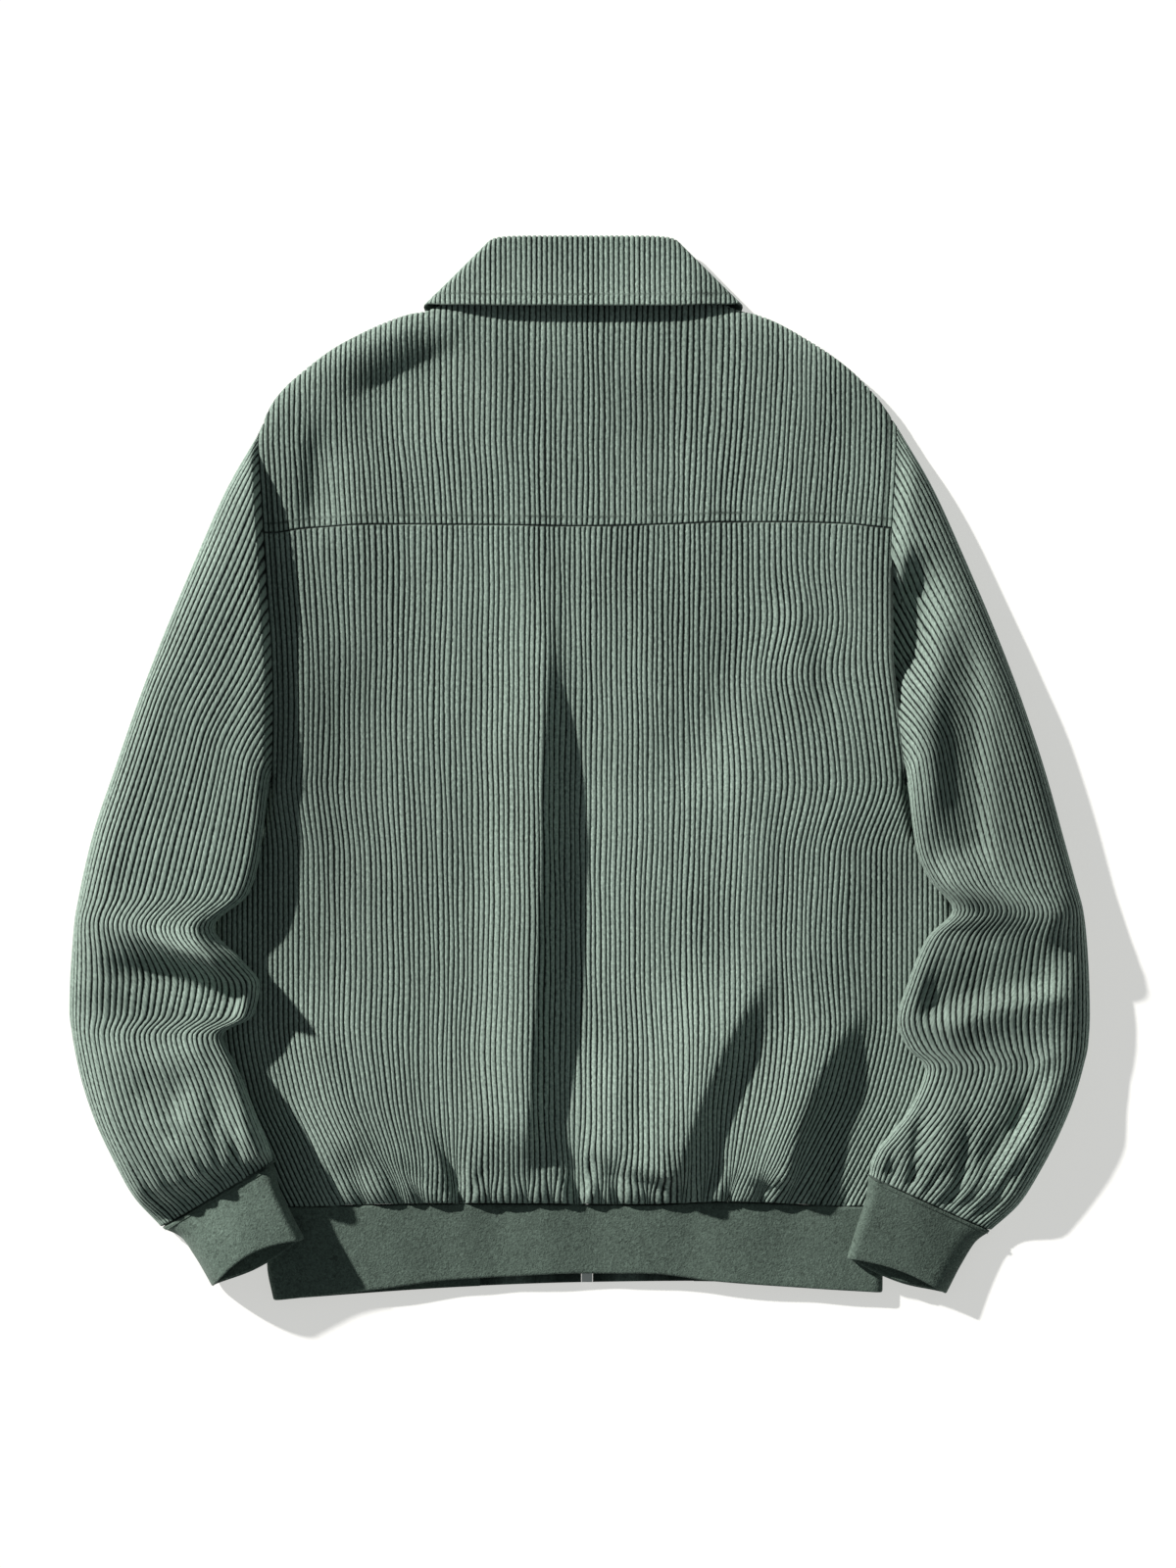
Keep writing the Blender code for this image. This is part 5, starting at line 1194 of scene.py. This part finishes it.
def make_cuff(side, finish):
    """An open tube whose start is tucked into the sleeve."""
    phase = np.arange(CUFF_COLUMNS) / CUFF_RIB
    share, on_top = ring_columns(phase, CUFF_COLUMNS / CUFF_RIB, CUFF_WIDE, side.cuff[0].top)
    last = len(side.cuff) - 1.0
    places = np.concatenate([
        CUFF_START_ROWS, np.linspace(0.16, last - 0.12, 22), last - np.array(CUFF_END_ROWS),
    ])
    at = np.repeat(places[:, None], CUFF_COLUMNS, axis=1)
    x, y = row_points(side.cuff, at, share)
    bow = np.where(on_top, side.bow, -CUFF_BOW_LOWER) * np.sin(math.pi * share) * (at / last) ** 2
    x = x + side.sign * bow * BOW_X
    y = y + bow * BOW_Y
    top = loft_z(x, y) + row_tops(side.cuff, at)
    grid = stack(x, y, tube_heights(share, on_top, top, support_z(x, y)))
    if side.sign < 0:
        grid = grid[:, ::-1]
    ends = lengths(grid, 0)
    grid = turn_down(grid, normals_of(grid, True), ends, ends[-1] - ends)
    outward = normals_of(grid, True)[0]
    into_sleeve = grid[0] - grid[3]
    into_sleeve /= np.linalg.norm(into_sleeve, axis=1, keepdims=True)
    under = grid[0] - outward * CUFF_SINK
    tucked = np.stack([under + into_sleeve * CUFF_TUCK, under])
    tucked[..., 2] = np.maximum(tucked[..., 2], CLOTH)
    piece = shell(f"cuff_{side.word}_knit", np.concatenate([tucked, grid]), KNIT, phase, ring=True)
    return build_with(piece, finish.wales, Finish=finish.knit)


# ---------- hem band, tabs, collar ----------


def band_side(name, y):
    return read(column(BAND_SIDE, "y"), column(BAND_SIDE, name), y)


def band_wave(x, y):
    """Soft unevenness of the band over the back, deepest at its seam."""
    total = sum(wave.height * bell((x - wave.x) / wave.reach) for wave in BAND_WAVES)
    start, width = WAVE_SIDE
    inside = ease((x - BAND_SIDE[-1].left - start) / width)
    inside = inside * ease((BAND_SIDE[-1].right - start - x) / width)
    return total * inside * (WAVE_LEAST + (1 - WAVE_LEAST) * ease((y - WAVE_LOW) / WAVE_HIGH))


def make_hem_band(finish):
    """One strip round the body: under the left front, over the back, under the right front."""
    roll = BAND_ROLL * (1 - np.cos(np.linspace(0, math.pi / 2, 7)))
    tab_left, tab_right = ZIP_X - TAB_SIDE, ZIP_X + TAB_SIDE

    def stretch(lower, place):
        """Columns of one stretch: place gives x from the band's side edges, at each height."""
        bottom = FRONT_BOTTOM if lower else BAND_BOTTOM
        x = place(*BAND_GUESS)
        for _ in range(3):
            y = rows_between(edge_y(bottom, x), edge_y(HEM_SEAM, x) - GAP, BAND_NEAR, BAND_NEAR, count=15)
            wide = place(band_side("left", y), band_side("right", y))
            x = wide.mean(axis=0)
        return wide, y

    def even(start, end, count):
        share = np.linspace(0, 1, count)
        return lambda left, right: start(left, right) + (end(left, right) - start(left, right)) * share

    flat = {
        "under left": even(lambda a, b: tab_left + 0 * a, lambda a, b: a + BAND_ROLL, 36),
        "over": even(lambda a, b: a + BAND_ROLL, lambda a, b: b - BAND_ROLL, 120),
        "under right": even(lambda a, b: b - BAND_ROLL, lambda a, b: tab_right + 0 * b, 36),
    }
    parts = []

    def add(lower, place, z, waves=0.0):
        x, y = stretch(lower, place)
        parts.append(stack(x, y, z + waves * band_wave(x, y)))

    low_curve = SIDE_Z * (1 - rounded(roll / BAND_ROLL))
    high_curve = SIDE_Z + (BAND_Z - SIDE_Z) * rounded(roll / BAND_ROLL)
    add(True, flat["under left"], 0.0)
    add(True, lambda a, b: a + roll[::-1][1:], low_curve[::-1][1:])
    add(False, lambda a, b: a + roll[1:-1], high_curve[1:-1])
    add(False, flat["over"], BAND_Z, 1.0)
    add(False, lambda a, b: b - roll[::-1][1:-1], high_curve[::-1][1:-1])
    add(True, lambda a, b: b - roll[:-1], low_curve[:-1])
    add(True, flat["under right"], 0.0)
    grid = np.concatenate(parts, axis=1)
    bottom = lengths(grid, 0)
    grid = turn_down(grid, normals_of(grid, False), bottom, bottom[-1] - bottom)
    phase = lengths(grid, 1)[0] / WALE
    piece = shell(
        "hem_band_knit", grid, KNIT, phase, row_step=2, column_step=4,
        in_plane=[(-1, slice(None), 1), (0, slice(None), 1)],
    )
    return build_with(piece, finish.wales, Finish=finish.knit)


def make_hem_tab(side, finish):
    phase = wale_columns(TAB_WALES)
    x = ZIP_X + side.sign * (FRONT_EDGE + (TAB_SIDE - FRONT_EDGE) * phase / TAB_WALES)
    low = edge_y(FRONT_BOTTOM, x)
    high = edge_y(HEM_SEAM, x) - GAP / 2
    y = rows_between(low, high, SEAM_NEAR, SEAM_NEAR, count=8)
    grid = stack(x, y, np.zeros_like(y))
    relief = seam_fade(y - low, high - y, abs(grid[..., 0] - x[0]), abs(grid[..., 0] - x[-1]))
    if side.sign > 0:
        grid, relief = grid[:, ::-1], relief[:, ::-1]
    piece = shell(f"hem_tab_{side.word}_corduroy", grid, CLOTH, phase, relief)
    return build_with(piece, finish.wales, Finish=finish.corduroy)


def collar_section(turn, neck, roll, edge, lift):
    """Middle of the collar's wall at one place of its left half: neck, stand, roll line, fall, edge."""
    outward = np.array(COLLAR_AIM) * math.sin(turn)
    between = FALL_RADIUS - STAND_RADIUS
    stand_z = COLLAR_Z + STAND_RADIUS * math.cos(turn)
    fall_z = COLLAR_Z + FALL_RADIUS * math.cos(turn)
    run = (roll - neck) / np.linalg.norm(roll - neck)
    points = []
    for share in np.linspace(0, 1, STAND_ROWS):
        flat = neck + (roll - neck - run * between / 2) * share - outward * between
        points.append((*flat, stand_z))
    middle = np.array([*(roll - run * between / 2 - outward * between / 2), (stand_z + fall_z) / 2])
    across = np.array([*outward, math.cos(turn)])
    across = across / np.linalg.norm(across)
    forward = np.array([*run, 0.0])
    for angle in ROLL_ANGLES:
        a = math.radians(angle)
        points.append(tuple(middle + between / 2 * (forward * math.sin(a) - across * math.cos(a))))
    start = roll - run * between / 2
    reach = np.linalg.norm(edge - start)
    shares = np.linspace(0, 1 - EDGE_START / reach, FALL_ROWS)
    for share in np.append(shares, 1 - np.array(EDGE_NEAR) / reach):
        flat = start + (edge - start) * share
        points.append((*flat, fall_z + lift * share**2))
    return points


def collar_half():
    """Evenly spaced sections of the collar's left half, from its middle to its front end."""
    keys = np.arange(len(COLLAR_HALF), dtype=float)
    table = {name: column(COLLAR_HALF, name) for name in Station._fields}
    fine = np.linspace(0, keys[-1], 1200)
    edge = np.stack([read(keys, table[name], fine) for name in ("edge_x", "edge_y")])
    roll = np.stack([read(keys, table[name], fine) for name in ("roll_x", "roll_y")])
    depth = read(keys, table["turn"], fine) / 180 * (FALL_RADIUS + STAND_RADIUS)
    step = (np.hypot(*np.diff(edge)) + np.hypot(*np.diff(roll))) / 2
    around = np.concatenate([[0], np.cumsum(np.hypot(step, np.diff(depth)))])
    sections = []
    for place in np.interp(np.linspace(0, around[-1], COLLAR_SECTIONS), around, fine):
        here = Station(*(float(read(keys, table[name], np.array(place))) for name in Station._fields))
        neck = np.array([here.neck_x, here.neck_y])
        if here.turn < 0.01 or here.turn > 179.99:  # flat on the back or the fronts, along their neck edge
            panel, spare = (BACK_TOP, GAP) if here.turn < 90 else (FRONT_TOP, FRONT_NECK_GAP)
            neck[1] = edge_y(panel, neck[0]) + spare * math.hypot(1, edge_slope(panel, neck[0]))
        roll_point, edge_point = np.array([here.roll_x, here.roll_y]), np.array([here.edge_x, here.edge_y])
        sections.append(collar_section(math.radians(here.turn), neck, roll_point, edge_point, here.lift))
    return np.array(sections)


def straight_down(grid, middle, phase):
    """The same surface with columns that run straight down, and fan out only near the front ends."""
    straight = np.empty((len(grid), len(phase), 3))
    knee, last = STRAIGHT_WALES, phase[-1]
    for row, place in enumerate(lengths(grid, 1)):
        place = place - place[middle]
        ends = [place[0], -knee * WALE, knee * WALE, place[-1]]
        at = np.interp(phase, [-last, -knee, knee, last], ends)
        straight[row] = np.stack([np.interp(at, place, grid[row, :, axis]) for axis in range(3)], axis=1)
    return straight


def make_collar(finish):
    left = collar_half()
    right = left.copy()
    right[..., 0] = 2 * COLLAR_MIDDLE.neck_x - left[..., 0]
    centre = np.concatenate([left[::-1], right[1:]])
    outer = centre + normals_of(centre, False) * CLOTH / 2
    phase = wale_columns(COLLAR_WALES // 2)
    phase = np.concatenate([-phase[::-1], phase[1:]])
    grid = straight_down(outer.transpose(1, 0, 2)[:, ::-1], len(left) - 1, phase)
    neck = lengths(grid, 0)
    edge = neck[-1] - neck
    front = lengths(grid, 1)
    ends = np.minimum(front, front[:, -1:] - front)
    grid = turn_down(grid, normals_of(grid, False), neck, edge, ends)
    relief = seam_fade(neck, edge, ends) * stitch_groove(edge - COLLAR_STITCH)
    piece = shell("collar_corduroy", grid, CLOTH, phase, relief, row_step=2)
    return build_with(piece, finish.wales, Finish=finish.corduroy), grid, edge


# ---------- zip ----------


def make_tape(side, finish):
    columns = 11
    y = np.linspace(TAPE_BOTTOM, ZIP_TOP, 60)[:, None]
    x = ZIP_X + side.sign * np.linspace(TAPE_EDGE, TAPE_WIDTH, columns)
    x, y = np.broadcast_arrays(x, y)
    grid = stack(x, y, leaf_lift(x, y) + CLOTH + GAP + TAPE)
    if side.sign < 0:
        grid = grid[:, ::-1]
    piece = shell(f"zip_tape_{side.word}_woven", grid, TAPE, np.arange(columns) / 2.0)
    return build_with(piece, finish.wales, Finish=finish.tape)


def make_teeth(finish):
    y = np.linspace(TEETH_BOTTOM, TEETH_TOP, 200)
    x = np.full(y.shape, ZIP_X)
    line = np.stack([x, y, leaf_lift(x, y) + CLOTH + TEETH_UP], axis=1)
    return build_with(paths_object("zip_teeth_metal", [line]), finish.teeth, Finish=finish.metal)


# ---------- stitching ----------


def surface_line(x, y):
    return np.stack([x, y, back_z(x, y) - THREAD_SINK], axis=1)


def stitch_lines(collar_grid, collar_edge):
    """Paths along the yoke's seam, both armholes and the collar's edge."""
    x = np.linspace(*YOKE_STITCHED, 240)
    lines = [surface_line(x, edge_y(YOKE_SEAM, x) + STITCH_FROM_EDGE)]
    for side in SIDES:
        y = np.linspace(*ARMHOLE_STITCHED, 120)
        lines.append(surface_line(body_at(side.word, y) - side.sign * STITCH_FROM_EDGE, y))
    along = []
    for i in range(2, collar_grid.shape[1] - 2):
        row = np.interp(-COLLAR_STITCH, -collar_edge[:, i], np.arange(len(collar_edge)))
        low = int(row)
        below, above = collar_grid[low, i], collar_grid[min(low + 1, len(collar_grid) - 1), i]
        along.append(below + (above - below) * (row - low))
    outward = normals_of(collar_grid, False)
    row = int(np.argmin(abs(collar_edge[:, collar_grid.shape[1] // 2] - COLLAR_STITCH)))
    lines.append(np.array(along) - outward[row, 2:-2] * THREAD_SINK)
    return lines


def make_stitching(lines, finish):
    piece = paths_object("topstitching_thread", lines)
    return build_with(piece, finish.stitches, Finish=finish.thread)


# ---------- materials ----------

# Valley is a painted shade, near black, in the grooves between the wales; Crest is the cloth's own colour
PILE = {"Crest": (0.277, 0.354, 0.305, 1), "Valley Shade": (0.006, 0.011, 0.009, 1), "Mottle": 2.3}
Knitted = namedtuple("Knitted", "name base loops bump sheen")
KNITTED = {
    "knit": Knitted("dark_sage_knit", (0.096, 0.130, 0.108, 1), 700.0, 0.5, 0.12),
    "tape": Knitted("zip_tape_weave", (0.05, 0.066, 0.056, 1), 1500.0, 0.2, 0.05),
    "thread": Knitted("sage_thread", (0.10, 0.135, 0.115, 1), 2500.0, 0.05, 0.1),
}
SHEEN_ROUGH, SHEEN_TINT = 0.5, (0.8, 0.9, 0.84, 1)
CLOTH_GLOSS = 0.15
METAL_TINT = (0.72, 0.72, 0.69, 1)
METAL_WEAR, METAL_ROUGH = 900.0, (0.22, 0.45)  # scale of its wear, and the roughness between which it varies


def wale_group():
    """Crest mask and height of the wales from the cloth map, painted shade in the valleys between them, and
    the mottle of cut pile.
    """
    tree = Tree("corduroy_pile", "ShaderNodeTree")
    tree.socket("Crest", "Color", (0.2, 0.25, 0.22, 1))
    tree.socket("Valley Shade", "Color", (0.03, 0.04, 0.035, 1))
    tree.socket("Mottle", "Float", 0.5)
    tree.socket("Fray", "Float", 0.3)
    tree.socket("Color", "Color", out=True)
    tree.socket("Roughness", "Float", out=True)
    tree.socket("Height", "Float", out=True)
    given = tree.node("NodeGroupInput").outputs
    cloth = tree.node("ShaderNodeUVMap", uv_map="cloth").outputs["UV"]
    split = tree.node("ShaderNodeSeparateXYZ", {0: cloth}).outputs
    relief = tree.node("ShaderNodeAttribute", attribute_name="relief").outputs["Fac"]

    # frayed edges of the wales, and cloth without wales where they are pressed flat and on the inner faces,
    # which takes mostly the painted valley shade
    frayed = tree.node("ShaderNodeMapping", {"Vector": cloth, "Scale": (1.0, 1.3, 1.0)}).outputs[0]
    frayed = tree.node("ShaderNodeTexNoise", {"Vector": frayed, "Scale": 0.9, "Detail": 3.0})
    stray = tree.math("MULTIPLY", tree.math("SUBTRACT", frayed.outputs[0], 0.5), given["Fray"])
    crest = tree.math("MULTIPLY", wale_shape(tree, tree.math("ADD", split[0], stray)), relief)
    plain = tree.math("MULTIPLY", tree.math("SUBTRACT", 1.0, relief), 0.45)
    crest = tree.math("ADD", crest, plain)

    # tufts, broad patches, and the patches of painted shade and light and of brushed pile
    tuft = tree.node("ShaderNodeMapping", {"Vector": cloth, "Scale": (1.5, 0.9, 1.0)}).outputs[0]
    tufts = tree.node("ShaderNodeTexNoise", {"Vector": tuft, "Scale": 1.6, "Detail": 4.0, "Roughness": 0.65})
    place = tree.node("ShaderNodeTexCoord").outputs["Object"]
    patches = tree.node("ShaderNodeTexNoise", {"Vector": place, "Scale": 16.0, "Detail": 3.0})
    shade = tree.math("MULTIPLY_ADD", tree.math("SUBTRACT", tufts.outputs[0], 0.5), given["Mottle"], 1.0)
    broad = tree.math("MULTIPLY_ADD", tree.math("SUBTRACT", patches.outputs[0], 0.5), 0.4, 1.0)
    shade_and_nap = tree.node("ShaderNodeAttribute", attribute_name="shade_and_nap").outputs["Fac"]
    shade = tree.math("MULTIPLY", shade, tree.math("MULTIPLY", broad, tree.math("ADD", shade_and_nap, 1.0)))

    # long streaks in which the valleys, and so their painted shade, are more or less closed
    drawn = tree.node("ShaderNodeMapping", {"Vector": cloth, "Scale": (0.12, 0.02, 1.0)}).outputs[0]
    streaks = tree.node("ShaderNodeTexNoise", {"Vector": drawn, "Scale": 1.0, "Detail": 3.0})
    closed = tree.math("MULTIPLY_ADD", tree.math("SUBTRACT", streaks.outputs[0], 0.5), 0.7, crest)
    limits = {"Value": closed, "From Min": 0.28, "From Max": 0.86}
    soft = tree.node("ShaderNodeMapRange", limits, interpolation_type="SMOOTHSTEP").outputs[0]
    # the valleys take the painted shade, the crests the cloth's colour
    mixed = tree.node("ShaderNodeMix", {"Factor": soft}, data_type="RGBA")
    tree.tree.links.new(given["Valley Shade"], mixed.inputs[6])
    tree.tree.links.new(given["Crest"], mixed.inputs[7])
    tinted = tree.node("ShaderNodeVectorMath", {0: mixed.outputs[2], "Scale": shade}, operation="SCALE")
    height = tree.math("MULTIPLY", tufts.outputs[0], relief)
    rough = tree.math("MULTIPLY_ADD", tufts.outputs[0], 0.15, 0.82)
    tree.node("NodeGroupOutput", {"Color": tinted.outputs[0], "Roughness": rough, "Height": height})
    return tree.tree


def knit_group():
    """Fine felted knit: small loops, softly uneven in shade."""
    tree = Tree("felted_knit", "ShaderNodeTree")
    tree.socket("Base", "Color", (0.08, 0.11, 0.09, 1))
    tree.socket("Loops", "Float", 700.0)
    tree.socket("Color", "Color", out=True)
    tree.socket("Roughness", "Float", out=True)
    tree.socket("Height", "Float", out=True)
    given = tree.node("NodeGroupInput").outputs
    place = tree.node("ShaderNodeTexCoord").outputs["Object"]
    loops = {"Vector": place, "Scale": given["Loops"]}
    loops = tree.node("ShaderNodeTexVoronoi", loops, feature="SMOOTH_F1")
    bent = {"Vector": place, "Scale": 420.0, "Detail": 3.0, "Distortion": 1.6}
    bent = tree.node("ShaderNodeTexNoise", bent)
    patches = tree.node("ShaderNodeTexNoise", {"Vector": place, "Scale": 30.0, "Detail": 3.0})
    shade = tree.math("MULTIPLY_ADD", tree.math("SUBTRACT", bent.outputs[0], 0.5), 2.0, 1.0)
    broad = tree.math("MULTIPLY_ADD", patches.outputs[0], 0.4, 0.8)
    # the same patches of painted shade and light and of brushed pile, here on the cuffs
    shade_and_nap = tree.node("ShaderNodeAttribute", attribute_name="shade_and_nap").outputs["Fac"]
    shade = tree.math("MULTIPLY", shade, tree.math("MULTIPLY", broad, tree.math("ADD", shade_and_nap, 1.0)))
    tinted = tree.node("ShaderNodeVectorMath", {0: given["Base"], "Scale": shade}, operation="SCALE")
    height = tree.math("ADD", bent.outputs[0], tree.math("MULTIPLY", loops.outputs["Distance"], 0.5))
    rough = tree.math("MULTIPLY_ADD", bent.outputs[0], 0.12, 0.82)
    tree.node("NodeGroupOutput", {"Color": tinted.outputs[0], "Roughness": rough, "Height": height})
    return tree.tree


def cloth_material(name, group, inputs, bump, sheen):
    """bump is the height of the group's relief in mm."""
    material = bpy.data.materials.new(name)
    material.use_nodes = True
    nodes, links = material.node_tree.nodes, material.node_tree.links
    shader = nodes["Principled BSDF"]
    shader.inputs["Sheen Weight"].default_value = sheen
    shader.inputs["Sheen Roughness"].default_value = SHEEN_ROUGH
    shader.inputs["Sheen Tint"].default_value = SHEEN_TINT
    shader.inputs["Specular IOR Level"].default_value = CLOTH_GLOSS
    look = nodes.new("ShaderNodeGroup")
    look.node_tree = group
    for key, value in inputs.items():
        look.inputs[key].default_value = value
    relief = nodes.new("ShaderNodeBump")
    relief.inputs["Distance"].default_value = bump * MM
    relief.inputs["Strength"].default_value = 1.0
    links.new(look.outputs["Height"], relief.inputs["Height"])
    links.new(look.outputs["Color"], shader.inputs["Base Color"])
    links.new(look.outputs["Roughness"], shader.inputs["Roughness"])
    links.new(relief.outputs["Normal"], shader.inputs["Normal"])
    return material


def metal_material():
    material = bpy.data.materials.new("zip_metal")
    material.use_nodes = True
    nodes, links = material.node_tree.nodes, material.node_tree.links
    shader = nodes["Principled BSDF"]
    shader.inputs["Metallic"].default_value = 1.0
    shader.inputs["Base Color"].default_value = METAL_TINT
    place = nodes.new("ShaderNodeTexCoord")
    wear = nodes.new("ShaderNodeTexNoise")
    wear.inputs["Scale"].default_value = METAL_WEAR
    level = nodes.new("ShaderNodeMapRange")
    level.inputs["To Min"].default_value, level.inputs["To Max"].default_value = METAL_ROUGH
    links.new(place.outputs["Object"], wear.inputs["Vector"])
    links.new(wear.outputs["Fac"], level.inputs["Value"])
    links.new(level.outputs["Result"], shader.inputs["Roughness"])
    return material


Finish = namedtuple("Finish", "corduroy knit tape thread metal wales stitches teeth")


def make_finishes():
    pile, knit = wale_group(), knit_group()
    corduroy = cloth_material("sage_corduroy", pile, PILE, 0.35, 0.12)
    knitted = {
        part: cloth_material(row.name, knit, {"Base": row.base, "Loops": row.loops}, row.bump, row.sheen)
        for part, row in KNITTED.items()
    }
    return Finish(
        corduroy=corduroy, **knitted, metal=metal_material(),
        wales=make_wales_tree(), stitches=make_stitch_tree(), teeth=make_teeth_tree(),
    )


# ---------- studio ----------

CAMERA_X = 5.7
CAMERA_Y = -10.7
FRAME_HEIGHT = 1072.0  # length of floor from the frame's lower edge to its upper one
LENS = 100.0
SENSOR = 36.0
FLOOR_REACH = 4.0  # m
FLOOR_Z = -0.4
FLOOR_GLOW = 0.52
FLOOR_TINT, GLOW_TINT = (0.62, 0.61, 0.60, 1), (1.0, 0.99, 0.96, 1)
SUN_TINT, AIR_TINT = (1.0, 0.985, 0.955), (0.86, 0.98, 1.0, 1)
SUN_STRENGTH = 5.4
SUN_WIDTH, SUN_HEIGHT, SUN_HEADING = 1.6, 25, -38  # degrees; the heading is where its light goes
AIR_STRENGTH = 0.16


def make_studio():
    floor_mesh = bpy.data.meshes.new("studio_floor")
    corners = [(x * FLOOR_REACH, y * FLOOR_REACH, 0) for x, y in ((-1, -1), (1, -1), (1, 1), (-1, 1))]
    floor_mesh.from_pydata(corners, [], [(0, 1, 2, 3)])
    floor = bpy.data.objects.new("studio_floor", floor_mesh)
    floor.location.z = FLOOR_Z * MM
    bpy.context.collection.objects.link(floor)
    pale = bpy.data.materials.new("pale_floor")
    pale.use_nodes = True
    shader = pale.node_tree.nodes["Principled BSDF"]
    shader.inputs["Base Color"].default_value = FLOOR_TINT
    shader.inputs["Roughness"].default_value = 0.9
    shader.inputs["Specular IOR Level"].default_value = 0.0
    shader.inputs["Emission Color"].default_value = GLOW_TINT
    shader.inputs["Emission Strength"].default_value = FLOOR_GLOW
    floor_mesh.materials.append(pale)

    sun = bpy.data.lights.new("key_light", "SUN")
    sun.energy = SUN_STRENGTH
    sun.angle = math.radians(SUN_WIDTH)
    sun.color = SUN_TINT
    key = bpy.data.objects.new("key_light", sun)
    height, heading = math.radians(SUN_HEIGHT), math.radians(SUN_HEADING)
    level = math.cos(height)
    travel = (level * math.cos(heading), level * math.sin(heading), -math.sin(height))
    key.rotation_mode = "QUATERNION"
    key.rotation_quaternion = Vector(travel).to_track_quat("-Z", "Y")
    bpy.context.collection.objects.link(key)

    world = bpy.data.worlds.new("studio_air")
    world.use_nodes = True
    air = world.node_tree.nodes["Background"]
    air.inputs["Color"].default_value = AIR_TINT
    air.inputs["Strength"].default_value = AIR_STRENGTH
    bpy.context.scene.world = world
    bpy.context.scene.view_settings.view_transform = "Standard"

    lens = bpy.data.cameras.new("camera")
    lens.lens = LENS
    lens.sensor_width = SENSOR
    camera = bpy.data.objects.new("camera", lens)
    camera.location = (CAMERA_X * MM, CAMERA_Y * MM, FRAME_HEIGHT * MM * LENS / SENSOR)
    bpy.context.collection.objects.link(camera)
    bpy.context.scene.camera = camera


# ---------- the jacket ----------


def dress(piece, node):
    """Puts a cloth piece in place of its node."""
    piece.data.set_sharp_from_angle(angle=math.radians(SHARP_EDGE))
    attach(piece, JACKET)
    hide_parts(node)


def main():
    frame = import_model()
    finish = make_finishes()
    make_studio()

    dress(make_yoke(finish), "back_yoke")
    dress(make_back_panel(finish), "back_panel")
    for side in SIDES:
        word = side.word
        front = make_front(side, finish)
        dress(front, f"front_{word}")
        sleeve = make_sleeve(side, finish)
        dress(sleeve, f"sleeve_{word}")
        cuff = make_cuff(side, finish)
        dress(cuff, f"cuff_{word}")
        tab = make_hem_tab(side, finish)
        dress(tab, f"hem_tab_{word}")
        tape = make_tape(side, finish)
        dress(tape, f"zip_tape_{word}")
    dress(make_hem_band(finish), "hem_band")
    collar, collar_grid, collar_edge = make_collar(finish)
    dress(collar, "collar")

    threads = make_stitching(stitch_lines(collar_grid, collar_edge), finish)
    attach(threads, JACKET)
    teeth = make_teeth(finish)
    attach(teeth, JACKET)
    for node in ("zip_box", "zip_slider", "zip_pull"):
        data = frame["nodes"][node].data
        data.materials.clear()
        data.materials.append(finish.metal)


main()
